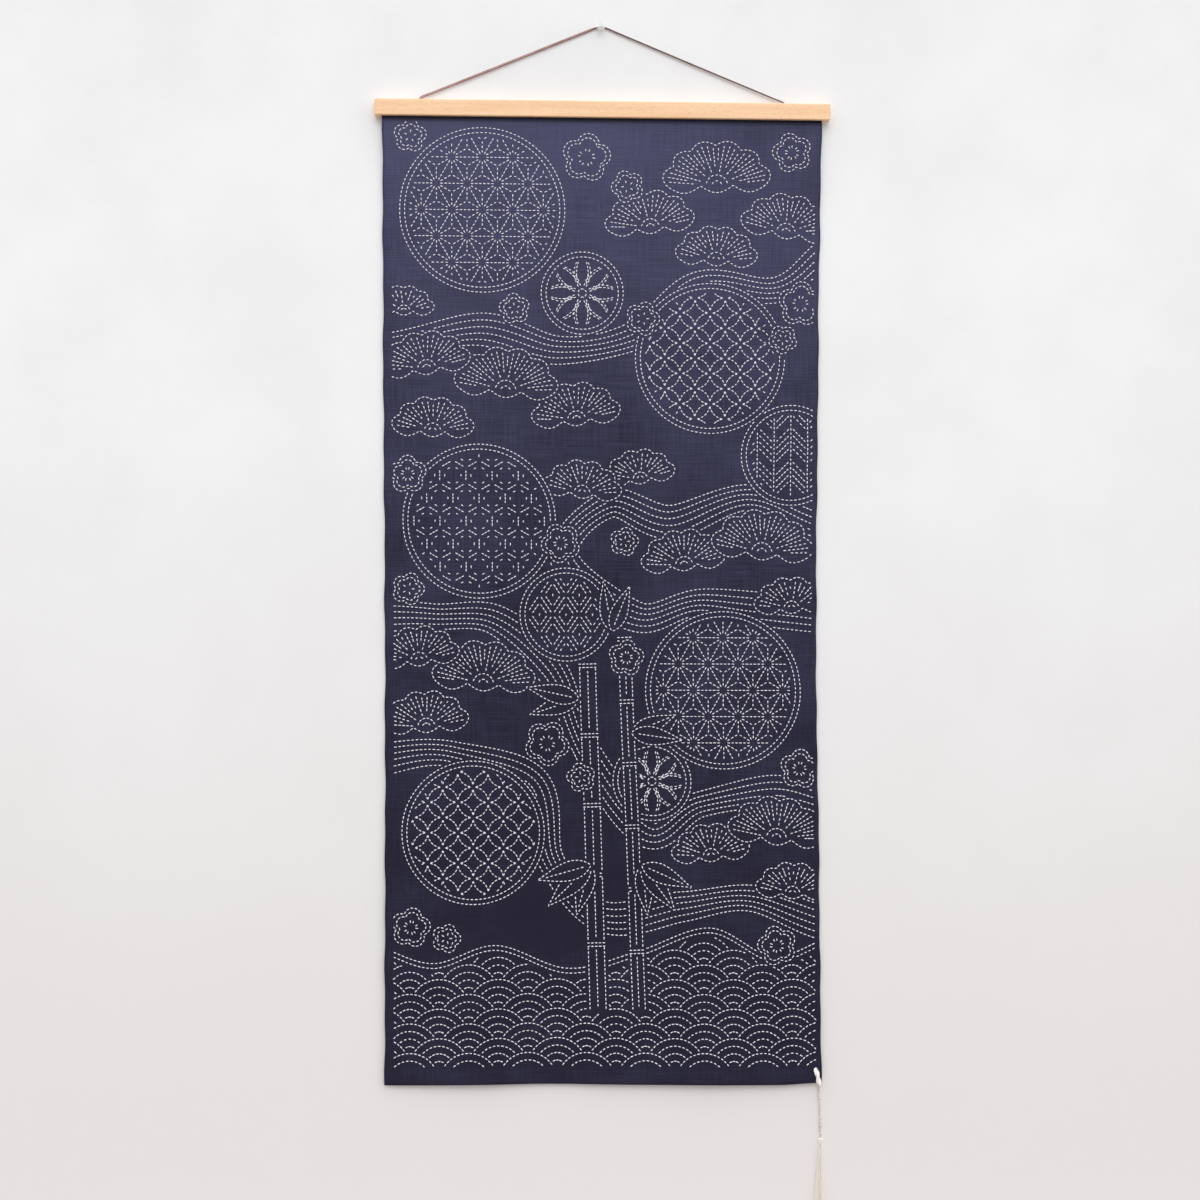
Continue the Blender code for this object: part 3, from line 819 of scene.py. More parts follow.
def indigo_cotton(settings):
    """Plain-woven indigo cotton, washed and pressed.

    The eye sees a matt, faintly slubbed dark blue with the thread grid just showing, rubbed paler along the
    hem, with a soft bluish lift where light glances off it. Painted sheen makes it paler and bluer towards
    the bar; painted shade darkens it towards the hem, in a broad hollow, at the top's right side, under the
    bar's strip and along the selvedges.
    """
    material, add = new_material("Indigo plain-weave cotton")
    uv = add("ShaderNodeUVMap", uv_map="Flat cloth")
    across, up, _ = add("ShaderNodeSeparateXYZ", uv).node.outputs
    warp = thread_wave(add, uv, across, (700, 30, 1))
    weft = thread_wave(add, uv, up, (30, 700, 1))
    weave = add("MULTIPLY", warp, weft)
    # Slubs: thick stretches of single weft threads, a few centimetres long, and fewer in the warp.
    slub_across = add("noise", add("stretch", uv, (22, 760, 1)), 1.0, 2.0)
    slub_down = add("noise", add("stretch", uv, (820, 24, 1)), 1.0, 2.0)
    slubs = add("ADD", slub_across, add("MULTIPLY", slub_down, 0.85))
    grain = add("ADD", add("ease", slubs, 0.67, 1.18, -0.12, 0.12), add("MULTIPLY", weave, 0.06))
    # Painted sheen, standing in for light glancing off the upper cloth: 1 at the bar and near 0 at the hem,
    # uneven by a few hundredths.
    tone = add("EXPONENT", add("DIVIDE", up, settings.painted_sheen_reach))
    for part in (
        add("MULTIPLY", grain, add("ease", up, -CLOTH_DROP, 0.0, 0.7, 1.5)),
        add("ease", add("noise", uv, 14.0, 5.0, 0.6), 0.3, 0.7, -0.08, 0.08),
        # Painted shade: a little darker towards the hem.
        add("ease", up, -1.05, -0.55, -0.04, 0.02),
    ):
        tone = add("ADD", tone, part)
    # Painted shade in a broad hollow and at the top's right side.
    tone = add("SUBTRACT", tone, painted_hollow_and_side_shade(add, across, up))
    # The hem's double cloth is rubbed a little paler, but for its very edge.
    hem_top = HEM_HEIGHT - CLOTH_DROP
    rubbed = add("ease", up, -CLOTH_DROP, 4 * MM - CLOTH_DROP, 0.0, 0.07)
    rubbed = add("MULTIPLY", rubbed, add("ease", up, hem_top - 3 * MM, hem_top, 1.0, 0.0))
    colour = add("mix", add("ADD", tone, rubbed), settings.dark_colour, settings.painted_sheen_colour)
    # The strip's lower edge presses the cloth; under it lies a painted shadow: a dark line.
    colour = add("mix", add("ease", up, -7.5 * MM, -0.5 * MM, 0.0, 0.76), colour, linear("#0c0909"))
    # Painted shade along the selvedges, where they curl back to the wall.
    side = add("ease", add("ABSOLUTE", across), 0.2415, 0.2445, 0.0, 0.45)
    return shaded(material, {
        "Roughness": 0.62, "Specular IOR Level": 0.25, "Specular Tint": settings.glance_colour,
        "Sheen Weight": 0.06, "Sheen Roughness": 0.4, "Sheen Tint": settings.glance_colour,
        "Base Color": add("mix", side, colour, settings.dark_colour),
        "Normal": add("bump", add("ADD", add("MULTIPLY", weave, 0.5), slubs), 0.12 * MM, 0.6),
    })


def cotton_thread(name, colour, shade, flecks=0.0):
    """Soft unglazed cotton thread: a warm or cool white, with painted shade between its turning plies."""
    material, add = new_material(name)
    # Two plies with a turn every 3 mm of thread; U runs along it in metres and V once round it.
    run, turn, _ = add("ShaderNodeSeparateXYZ", add("ShaderNodeUVMap", uv_map="Thread")).node.outputs
    turned = add("ADD", add("MULTIPLY", run, 2 * math.pi / (1.5 * MM)), add("MULTIPLY", turn, 2 * math.pi))
    place = add("place")
    height = add("ADD", add("MULTIPLY", add("SINE", turned), 0.5), add("noise", place, 900.0, 3.0, 0.6))
    # Painted shade: the thread darkens to its shade colour between the plies.
    ground = add("mix", add("ease", height, -0.25, 1.2), shade, colour)
    # Painted shade in small flecks, where the hand-twisted plies gape.
    painted_gap_shade = add("ease", add("noise", place, 430.0, 2.0), 0.50, 0.62, 0.0, flecks)
    return shaded(material, {
        "Roughness": 0.78, "Specular IOR Level": 0.35, "Sheen Weight": 0.25, "Sheen Roughness": 0.5,
        "Base Color": add("mix", painted_gap_shade, ground, linear("#7d6f63")),
        "Normal": add("bump", height, 0.10 * MM, 0.6),
    })


def oiled_beech(settings):
    """Steamed beech, planed, sanded and lightly oiled.

    The eye sees a warm honey ground with fine darker pores and flecks a few millimetres long that run
    along the bar, slow tonal bands, and a silky low gloss.
    """
    material, add = new_material("Oiled beech")
    place = add("place")
    bands = add("noise", add("stretch", place, (5, 60, 160)), 1.0, 4.0, 0.55)
    flecks = add("noise", add("stretch", place, (160, 1500, 1500)), 1.0, 2.0, 0.6)
    pores = add("noise", add("stretch", place, (420, 2600, 2600)), 1.0, 2.0, 0.5)
    colour = add("mix", add("ease", bands, 0.30, 0.72), settings.pale_colour, settings.band_colour)
    colour = add("mix", add("ease", flecks, 0.56, 0.74, 0.0, 0.55), colour, settings.fleck_colour)
    return shaded(material, {
        "Roughness": 0.42, "Specular IOR Level": 0.45, "Coat Weight": 0.08, "Coat Roughness": 0.35,
        "Base Color": add("mix", add("ease", pores, 0.62, 0.72, 0.0, 0.35), colour, settings.fleck_colour),
        "Normal": add("bump", add("ADD", flecks, add("MULTIPLY", bands, 0.6)), 0.06 * MM, 0.5),
    })


def lace_leather(settings):
    """Flat vegetable-tanned leather lace: a smooth reddish grain side, with darker burnished edges."""
    material, add = new_material("Brown leather lace")
    # V runs once round the lace: its edges lie about 0 and 0.5, its wide sides about 0.25 and 0.75.
    _, turn, _ = add("ShaderNodeSeparateXYZ", add("ShaderNodeUVMap", uv_map="Thread")).node.outputs
    edge = add("ease", add("ABSOLUTE", add("COSINE", add("MULTIPLY", turn, 2 * math.pi))), 0.55, 0.85)
    place = add("place")
    worn = add("ease", add("noise", place, 90.0, 3.0, 0.5), 0.3, 0.7)
    wide = add("mix", worn, settings.side_colour, settings.worn_colour)
    return shaded(material, {
        "Roughness": 0.5, "Specular IOR Level": 0.5,
        "Base Color": add("mix", edge, wide, settings.edge_colour),
        "Normal": add("bump", add("noise", place, 1400.0, 3.0, 0.6), 0.08 * MM, 0.6),
    })


def clear_plastic(settings):
    """Clear moulded polystyrene: bright rims and a see-through waist, faintly scuffed."""
    material, add = new_material("Clear polystyrene")
    scuffs = add("noise", add("place"), 900.0, 4.0, 0.6)
    return shaded(material, {
        "Transmission Weight": 0.35, "IOR": 1.45, "Alpha": 0.36, "Base Color": settings.plastic_colour,
        "Roughness": add("ease", scuffs, 0.35, 0.75, 0.04, 0.18),
        "Normal": add("bump", scuffs, 0.02 * MM, 0.4),
    })


def needle_steel():
    """Drawn steel wire: bright, with fine marks along its length."""
    material, add = new_material("Drawn steel")
    marks = add("noise", add("stretch", add("place"), (4000, 60, 4000)), 1.0, 2.0)
    return shaded(material, {
        "Metallic": 1.0, "Base Color": linear("#c2c3c6"),
        "Roughness": add("ease", marks, 0.3, 0.7, 0.22, 0.38),
        "Normal": add("bump", marks, 0.01 * MM, 0.4),
    })


def wall_paint(settings):
    """White emulsion on plaster with painted light falloff, darker towards the floor, solid from the front
    only: the hanging's back can be seen and lit.
    """
    material, add = new_material("White emulsion on plaster")
    nodes = material.node_tree.nodes
    place = add("place")
    _, _, up = add("ShaderNodeSeparateXYZ", place).node.outputs
    trowel = add("noise", place, 5.0, 5.0, 0.6)
    # Painted light falloff: the paint is darker towards the floor and brighter near the bar.
    height = add("ease", up, settings.low_z, settings.high_z)
    colour = add("mix", height, settings.low_shade_and_blotch_colour, settings.lit_high_colour)
    shaded(material, {
        "Roughness": 0.9, "Specular IOR Level": 0.2,
        "Base Color": add("mix", add("ease", trowel, 0.3, 0.7, 0.0, 0.25), colour, settings.low_shade_and_blotch_colour),
        "Normal": add("bump", trowel, 2.0 * MM, 0.25),
    })
    backing = add("ShaderNodeNewGeometry").node.outputs["Backfacing"]
    lit_through = add("ShaderNodeLightPath").node.outputs["Is Shadow Ray"]
    solid, clear = nodes["Principled BSDF"].outputs[0], add("ShaderNodeBsdfTransparent")
    surface = add("ShaderNodeMixShader", add("MAXIMUM", backing, lit_through), solid, clear)
    fill(nodes["Material Output"], {"Surface": surface})
    return material


# === Mesh helpers ===


def add_object(name, data, material=None):
    obj = bpy.data.objects.new(name, data)
    bpy.context.scene.collection.objects.link(obj)
    if material:
        data.materials.append(material)
    return obj


def mesh_of(name, points, faces, uvs=None, uv_name="Thread"):
    """A smooth mesh; uvs holds one pair for each face corner."""
    mesh = bpy.data.meshes.new(name)
    mesh.from_pydata([tuple(point) for point in points], [], faces)
    if uvs is not None:
        layer = mesh.uv_layers.new(name=uv_name)
        layer.data.foreach_set("uv", np.array(uvs, np.float32).ravel())
    mesh.shade_smooth()
    mesh.update()
    return mesh


def frames_along(points):
    """Two cross directions at each point, carried along the route without turning."""
    tangents = np.gradient(points, axis=0)
    tangents /= np.linalg.norm(tangents, axis=1)[:, None]
    first = np.array((0.0, 1.0, 0.0))
    first -= np.dot(first, tangents[0]) * tangents[0]
    firsts = [first / np.linalg.norm(first)]
    for tangent in tangents[1:]:
        carried = firsts[-1] - np.dot(firsts[-1], tangent) * tangent
        firsts.append(carried / np.linalg.norm(carried))
    firsts = np.array(firsts)
    return firsts, np.cross(tangents, firsts)


def swept(points, section, turns=0.0, sizes=1.0):
    """(points, faces, uvs) of a closed section carried along a route, turned and sized on the way."""
    firsts, seconds = frames_along(points)
    turns = np.broadcast_to(turns, len(points))
    sizes = np.broadcast_to(sizes, len(points))
    run = run_of(points)
    sides = len(section)
    rings = []
    for centre, a, b, turn, size in zip(points, firsts, seconds, turns, sizes):
        c, s = math.cos(turn), math.sin(turn)
        for p, q in section:
            rings.append(centre + size * ((p * c - q * s) * a + (p * s + q * c) * b))
    faces, uvs = [], []
    for ring in range(len(points) - 1):
        for side in range(sides):
            after = (side + 1) % sides
            here, there = ring * sides, (ring + 1) * sides
            faces.append((here + side, here + after, there + after, there + side))
            v, w = side / sides, (side + 1) / sides
            uvs += [(run[ring], v), (run[ring], w), (run[ring + 1], w), (run[ring + 1], v)]
    faces.append(tuple(reversed(range(sides))))
    last = (len(points) - 1) * sides
    faces.append(tuple(range(last, last + sides)))
    uvs += [(0.0, side / sides) for side in range(sides)]
    uvs += [(run[-1], side / sides) for side in range(sides)]
    return rings, faces, uvs


def joined(parts):
    """(points, faces, uvs) of several parts put into one."""
    points, faces, uvs = [], [], []
    for part_points, part_faces, part_uvs in parts:
        first = len(points)
        points += list(part_points)
        faces += [tuple(first + index for index in face) for face in part_faces]
        uvs += part_uvs
    return points, faces, uvs


def section_of(sides, half_width, half_depth, fullness=1.0):
    """An ellipse's points; a fullness below 1 fills out its corners."""
    points = []
    for angle in np.linspace(0, 2 * math.pi, sides, endpoint=False):
        c, s = math.cos(angle), math.sin(angle)
        points.append((
            half_width * math.copysign(abs(c) ** fullness, c),
            half_depth * math.copysign(abs(s) ** fullness, s),
        ))
    return points


def laid_plies(points, count, ply_radius, lay_radius, pitch, sides, start=0.0, sizes=1.0, turning=1.0):
    """Plies that wind round a route, each one a round tube; turning says how much they still wind."""
    firsts, seconds = frames_along(points)
    sizes = np.broadcast_to(sizes, len(points))
    turning = np.broadcast_to(turning, len(points))
    wound = np.concatenate(([0.0], np.cumsum(np.diff(run_of(points)) * turning[1:])))
    parts = []
    for ply in range(count):
        angles = start + 2 * math.pi * (ply / count + wound / pitch)
        path = points + lay_radius * sizes[:, None] * (
            np.cos(angles)[:, None] * firsts + np.sin(angles)[:, None] * seconds
        )
        parts.append(swept(path, section_of(sides, ply_radius, ply_radius), sizes=sizes))
    return parts


def turned_mesh(name, profile, sides=48):
    """A solid turned about Y from its (radius, y) profile."""
    points, rings, faces = [], [], []
    for radius, y in profile:
        if radius == 0:
            rings.append([len(points)])
            points.append((0.0, y, 0.0))
            continue
        rings.append(list(range(len(points), len(points) + sides)))
        for side in range(sides):
            angle = 2 * math.pi * side / sides
            points.append((radius * math.cos(angle), y, radius * math.sin(angle)))
    for ring, following in zip(rings, rings[1:]):
        for side in range(sides):
            after = (side + 1) % sides
            corners = [ring[side % len(ring)], ring[after % len(ring)]]
            corners += [following[after % len(following)], following[side % len(following)]]
            faces.append(tuple(reversed(list(dict.fromkeys(corners)))))
    return mesh_of(name, points, faces)


# === Geometry Nodes: running stitches along drawn lines ===


def stitch_shape(name, sides, rings):
    """One stitch, 1 long and 1 thick: a small bulging length of thread whose ends dive into the cloth."""
    points = [(-0.5, 0.0, -0.30)]
    for x, size, lift in rings:
        for side in range(sides):
            angle = 2 * math.pi * (side + 0.5) / sides
            points.append((x, 0.5 * size * math.cos(angle), lift + 0.42 * size * math.sin(angle)))
    points.append((0.5, 0.0, -0.30))
    faces, uvs = [], []
    places = [points[0][0]] + [x for x, _, _ in rings] + [points[-1][0]]
    last = len(points) - 1

    def add_face(corners):
        faces.append(corners)
        for corner in corners:
            ring = 0 if corner == 0 else len(rings) + 1 if corner == last else (corner - 1) // sides + 1
            uvs.append((0.003 * places[ring], ((corner - 1) % sides) / sides))

    for side in range(sides):
        after = (side + 1) % sides
        add_face((0, 1 + after, 1 + side))
        for ring in range(len(rings) - 1):
            here, there = 1 + ring * sides, 1 + (ring + 1) * sides
            add_face((here + side, here + after, there + after, there + side))
        final = 1 + (len(rings) - 1) * sides
        add_face((final + side, final + after, last))
    return mesh_of(name, points, faces, uvs)


def stitch_tree():
    """The node tree that sews one stitch at every pitch along each line."""
    tree = bpy.data.node_groups.new("Running stitches", "GeometryNodeTree")
    add = partial(add_node, tree)
    for name, kind, value in (
        ("Lines", "Geometry", None),
        ("Pitch", "Float", 4.8 * MM),
        ("Stitch length", "Float", 3.0 * MM),
        ("Thread thickness", "Float", 1.0 * MM),
        ("Along shift", "Float", 0.0),
        ("Depth shift", "Float", 0.0),
        ("Turned over", "Float", 0.0),
        ("Seed", "Int", 7),
        ("Stitch", "Object", None),
        ("Material", "Material", None),
    ):
        socket = tree.interface.new_socket(name, in_out="INPUT", socket_type="NodeSocket" + kind)
        if value is not None:
            socket.default_value = value
    tree.interface.new_socket("Stitches", in_out="OUTPUT", socket_type="NodeSocketGeometry")
    given = tree.nodes.new("NodeGroupInput").outputs
    curve = add("GeometryNodeMeshToCurve", given["Lines"])
    # Each line holds a whole number of stitches, so the pitch gives a little from line to line.
    line_length = add("GeometryNodeSplineLength")
    count = add("ROUND", add("DIVIDE", line_length, given["Pitch"]))
    even = add("DIVIDE", line_length, add("MAXIMUM", count, 1.0))
    spacing = add("MULTIPLY", add("MAXIMUM", even, add("MULTIPLY", given["Pitch"], 0.75)), 0.9999)
    points, tangent, *_ = add(
        "GeometryNodeCurveToPoints", {"Curve": curve, "Length": spacing}, mode="LENGTH",
    ).node.outputs
    normal = add("GeometryNodeInputNamedAttribute", {"Name": "face_normal"}, data_type="FLOAT_VECTOR")
    along = add("FunctionNodeAlignRotationToVector", {"Vector": tangent}, axis="X")
    upright = add(
        "FunctionNodeAlignRotationToVector", {"Rotation": along, "Vector": normal}, axis="Z", pivot_axis="X",
    )
    # Each stitch's own length and thickness, as shares, and its swing
    waver = add("FunctionNodeRandomValue", {
        0: (0.86, 0.88, -0.07), 1: (1.12, 1.10, 0.07), "Seed": given["Seed"],
    }, data_type="FLOAT_VECTOR")
    longer, thicker, swing = add("ShaderNodeSeparateXYZ", waver).node.outputs
    length = add("MULTIPLY", given["Stitch length"], longer)
    thick = add("MULTIPLY", given["Thread thickness"], thicker)
    turn = add("ShaderNodeCombineXYZ", {0: given["Turned over"], 2: swing})
    swung = add(
        "FunctionNodeRotateRotation", {"Rotation": upright, "Rotate By": turn}, rotation_space="LOCAL",
    )
    shift = add("ShaderNodeCombineXYZ", {0: given["Along shift"], 2: given["Depth shift"]})
    moved = add("GeometryNodeSetPosition", {
        "Geometry": points, "Offset": add("FunctionNodeRotateVector", shift, upright),
    })
    stitch = add("GeometryNodeObjectInfo", {"Object": given["Stitch"]}).node.outputs["Geometry"]
    sewn_on = add("GeometryNodeInstanceOnPoints", {
        "Points": moved, "Instance": stitch, "Rotation": swung,
        "Scale": add("ShaderNodeCombineXYZ", length, thick, thick),
    })
    real = add("GeometryNodeRealizeInstances", sewn_on)
    finished = add("GeometryNodeSetMaterial", {0: real, "Material": given["Material"]})
    fill(tree.nodes.new("NodeGroupOutput"), {0: finished})
    return tree


def set_input(modifier, name, value):
    """Sets a node modifier's named input by its socket's identifier."""
    for item in modifier.node_group.interface.items_tree:
        if item.item_type == "SOCKET" and item.in_out == "INPUT" and item.name == name:
            modifier[item.identifier] = value
            return
    raise RuntimeError(f"the node tree has no input named {name}")


def stitched_stretch(line, pitch):
    """The stretch from a line's first stitch to its last one, half a pitch in from each end."""
    run = run_of(line)
    if run[-1] < 1.8 * pitch:
        stops = run[-1] / 2 + np.array((-0.1, 0.1))
    else:
        stops = np.linspace(pitch / 2, run[-1] - pitch / 2, max(2, int((run[-1] - pitch) / LINE_STEP) + 1))
    return np.stack([np.interp(stops, run, line[:, axis]) for axis in range(2)], axis=1)


def line_mesh(name, lines, pitch):
    """Drawn lines on the cloth's face as a mesh of edges that also holds the face's normals."""
    points, normals, edges = [], [], []
    for line in lines:
        line = stitched_stretch(line, pitch / MM)
        first = len(points)
        here, normal = on_cloth(line)
        points += here.tolist()
        normals.append(normal)
        edges += [(first + index, first + index + 1) for index in range(len(line) - 1)]
    mesh = bpy.data.meshes.new(name)
    mesh.from_pydata(points, edges, [])
    layer = mesh.attributes.new("face_normal", "FLOAT_VECTOR", "POINT")
    layer.data.foreach_set("vector", np.vstack(normals).astype(np.float32).ravel())
    return mesh


def sewn(name, lines, stitch, tree, material, values):
    """A plain mesh of all the stitches along the lines."""
    drawn = add_object(name + "_lines", line_mesh(name + "_lines", lines, values["Pitch"]))
    modifier = drawn.modifiers.new("Running stitches", "NODES")
    modifier.node_group = tree
    set_input(modifier, "Stitch", stitch)
    set_input(modifier, "Material", material)
    for key, value in values.items():
        set_input(modifier, key, value)
    graph = bpy.context.evaluated_depsgraph_get()
    mesh = bpy.data.meshes.new_from_object(drawn.evaluated_get(graph), depsgraph=graph)
    if not mesh.polygons:
        raise RuntimeError(f"{name}: no stitches were sewn")
    mesh.name = name
    bpy.data.objects.remove(drawn, do_unlink=True)
    mesh.materials.clear()
    piece = add_object(name, mesh, material)
    mesh.shade_smooth()
    return piece


# === Settings ===


def colour_property(name, description, code):
    return FloatVectorProperty(
        name=name, description=description, subtype="COLOR", size=4, min=0, max=1, default=linear(code),
    )


def length_property(name, description, default):
    return FloatProperty(
        name=name, description=description, unit="LENGTH", subtype="DISTANCE", min=0, default=default,
    )


def number_property(name, description, default, unit="NONE"):
    return FloatProperty(name=name, description=description, unit=unit, default=default)


def angle_property(name, description, degrees):
    return FloatProperty(name=name, description=description, subtype="ANGLE", default=math.radians(degrees))


class ClothSettings(bpy.types.PropertyGroup):
    thickness: length_property("Cloth thickness", "Thickness of the single layer", 0.8 * MM)
    mesh_size: length_property("Mesh size", "Spacing of the cloth's mesh", 4.2 * MM)
    dark_colour: colour_property("Indigo", "Deep indigo of the weave near the hem", "#1b1826")
    # Painted sheen: the paler, bluer indigo at the top stands in for light glancing off the cloth, and it
    # dies away over the reach.
    painted_sheen_colour: colour_property("Faded indigo", "Indigo at the top, where daylight has faded it", "#494a65")
    painted_sheen_reach: length_property("Fading reach", "Drop over which most of the fading dies away", 340 * MM)
    glance_colour: colour_property("Glancing light", "Tint of light glancing off the fibres", "#c4caf0")


class StitchSettings(bpy.types.PropertyGroup):
    pitch: length_property("Stitch pitch", "From one stitch to the next", 4.8 * MM)
    length: length_property("Stitch length", "Length of thread on the front", 3.25 * MM)
    back_length: length_property("Back stitch length", "Length of thread on the back", 2.0 * MM)
    thickness: length_property("Thread thickness", "Thickness of the sashiko thread", 1.12 * MM)
    seed: IntProperty(name="Seed", description="Seed of the stitches' small unevenness", default=7)
    colour: colour_property("Thread", "White sashiko thread", "#fcfbff")
    shade: colour_property("Thread shade", "Thread colour between its plies", "#e2e0ec")


class BarSettings(bpy.types.PropertyGroup):
    pale_colour: colour_property("Pale wood", "Palest bands of the beech", "#f6cfa6")
    band_colour: colour_property("Banded wood", "Darker bands of the beech", "#efc193")
    fleck_colour: colour_property("Flecks", "Pores and flecks of the beech", "#c8905e")


class LaceSettings(bpy.types.PropertyGroup):
    width: length_property("Lace width", "Width of the flat lace", 2.7 * MM)
    thickness: length_property("Lace thickness", "Thickness of the flat lace", 1.6 * MM)
    side_colour: colour_property("Lace side", "Smooth side of the leather", "#94706a")
    worn_colour: colour_property("Worn lace", "Leather rubbed paler", "#ad8a83")
    edge_colour: colour_property("Lace edge", "Burnished edge of the leather", "#4d3a35")


class PinSettings(bpy.types.PropertyGroup):
    plastic_colour: colour_property("Plastic", "Clear plastic of the push pin", "#eef0f2")


class TasselSettings(bpy.types.PropertyGroup):
    strands: IntProperty(
        name="Strands", description="Loose threads under the knot", default=14, min=3, max=40,
    )
    thickness: length_property("Strand thickness", "Thickness of one loose thread", 1.0 * MM)
    seed: IntProperty(name="Seed", description="Seed of the strands' small unevenness", default=11)
    loop_colour: colour_property("Loop", "Bleached cotton of the loop through the hem", "#fdfaf6")
    loop_shade: colour_property("Loop shade", "Loop colour between its plies", "#ddd6cf")
    colour: colour_property("Cord", "Cream cotton of the cord", "#fbf1e8")
    shade: colour_property("Cord shade", "Cord colour between its plies", "#b5a798")
    strand_colour: colour_property("Strand", "Cream cotton of the tassel's strands", "#fff9f1")
    strand_shade: colour_property("Strand shade", "Strand colour between its plies", "#ecdfd0")


class StageSettings(bpy.types.PropertyGroup):
    camera_place: FloatVectorProperty(
        name="Camera", description="Where the camera stands", subtype="XYZ", unit="LENGTH",
        default=(-0.0921, -2.600, -0.6530),
    )
    camera_pitch: angle_property("Pitch", "Camera tilt up", 0.245)
    camera_yaw: angle_property("Yaw", "Camera turn to the left", -2.019)
    camera_roll: angle_property("Roll", "Camera roll", -0.018)
    lens: number_property("Lens", "Focal length on a 36 mm wide sensor", 69.525)
    key_strength: number_property("Key light", "Strength of the front light", 0.82)
    rear_strength: number_property("Rear light", "Strength of the light behind", 2.0)
    softness: angle_property("Softness", "Width of both lights in the sky", 40)
    room_strength: number_property("Room light", "Strength of the light all round", 1.61)
    window_way: FloatVectorProperty(
        name="Window", description="Direction of the brightest window", subtype="DIRECTION",
        default=(0.04, -0.40, 0.92),
    )
    high_light: colour_property("High light", "Colour of the room's light from above", "#fafcff")
    low_light: colour_property("Low light", "Colour of the room's light from below", "#3c2a20")
    # The wall's painted light falloff runs between these heights and colours.
    backdrop: colour_property("Backdrop", "Plain colour seen past the wall and the floor", "#b9b7b6")
    low_z: number_property("Low", "Height at which the wall is darkest", -1.35, "LENGTH")
    high_z: number_property("High", "Height at which the wall is brightest", -0.2, "LENGTH")
    low_shade_and_blotch_colour: colour_property("Low wall", "Wall paint near the floor", "#dad6d5")
    lit_high_colour: colour_property("High wall", "Wall paint near the bar", "#eff0f0")
    floor_z: number_property("Floor", "Height of the floor", -2.3, "LENGTH")


# === Operators ===


def add_sun(name, energy, width, way):
    """A broad soft light that shines along a direction."""
    light = bpy.data.lights.new(name, "SUN")
    light.energy = energy
    light.angle = width
    sun = add_object(name, light)
    sun.rotation_euler = Vector(way).to_track_quat("-Z", "Y").to_euler()


def add_plane(name, corners, material):
    plane = add_object(name, bpy.data.meshes.new(name), material)
    plane.data.from_pydata(corners, [], [(0, 1, 2, 3)])
    return plane


class SASHIKO_OT_stage(bpy.types.Operator):
    """Set the camera, the lights, and the pale wall and floor"""

    bl_idname = "sashiko.stage"
    bl_label = "Stage"

    def execute(self, context):
        settings = context.scene.sashiko_stage
        scene = context.scene
        scene.view_settings.view_transform = "Standard"
        scene.view_settings.look = "None"
        data = bpy.data.cameras.new("camera")
        data.lens = settings.lens
        data.sensor_width = 36.0
        data.clip_start = 0.1
        data.clip_end = 20.0
        camera = add_object("camera", data)
        camera.location = settings.camera_place
        turn = (
            Matrix.Rotation(settings.camera_yaw, 4, "Z")
            @ Matrix.Rotation(settings.camera_pitch, 4, "X")
            @ Matrix.Rotation(settings.camera_roll, 4, "Y")
            @ Matrix.Rotation(math.radians(90), 4, "X")
        )
        camera.rotation_euler = turn.to_euler()
        scene.camera = camera

        add_sun("key_light", settings.key_strength, settings.softness, (-0.03, 0.86, -0.50))
        add_sun("rear_light", settings.rear_strength, settings.softness, (-0.12, -0.98, -0.08))

        # The room: bright and cool from high windows, dim and warm from below.
        world = bpy.data.worlds.new("room_light")
        world.use_nodes = True
        add = partial(add_node, world.node_tree)
        way = add("ShaderNodeTexCoord").node.outputs["Generated"]
        window = add("ShaderNodeVectorMath", way, settings.window_way, operation="DOT_PRODUCT")
        rise = add("ShaderNodeMapRange", window.node.outputs["Value"], -0.35, 0.95)
        light = add("mix", rise, settings.low_light, settings.high_light)
        seen = add("ShaderNodeLightPath").node.outputs["Is Camera Ray"]
        fill(world.node_tree.nodes["Background"], {
            "Color": add("mix", seen, light, settings.backdrop), "Strength": settings.room_strength,
        })
        scene.world = world

        half, near, back, top = 2.2, -1.1, 0.25 * MM, 3.0
        low = settings.floor_z
        wall = add_plane(
            "wall", [(-half, back, low), (half, back, low), (half, back, top), (-half, back, top)],
            wall_paint(settings),
        )
        boards, _ = new_material("Pale waxed floor")
        shaded(boards, {"Base Color": linear("#cbbfb4"), "Roughness": 0.7})
        floor = add_plane(
            "floor", [(-half, near, low), (half, near, low), (half, back, low), (-half, back, low)], boards,
        )
        return {"FINISHED"}


class SASHIKO_OT_lace(bpy.types.Operator):
    """Hang the flat leather lace over the pin"""

    bl_idname = "sashiko.lace"
    bl_label = "Lace"

    def execute(self, context):
        settings = context.scene.sashiko_lace
        path = smooth_curve(lace_route(settings.thickness), 2.0 * MM)
        run = run_of(path)
        share = run / run[-1]
        # The lace lies flat on the needle; its left leg turns its wide side out, its right leg its edge.
        near_needle = np.exp(-(((share - 0.5) / 0.03) ** 2))
        turns = (np.where(share < 0.5, 1.45, 0.25) + 0.15 * np.sin(19 * share)) * (1 - near_needle)
        section = section_of(16, settings.width / 2, settings.thickness / 2, 0.6)
        mesh = mesh_of("leather_lace", *swept(path, section, turns))
        lace = add_object("leather_lace", mesh, lace_leather(settings))
        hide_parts("hanging_lace")
        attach(lace, ROOT)
        return {"FINISHED"}


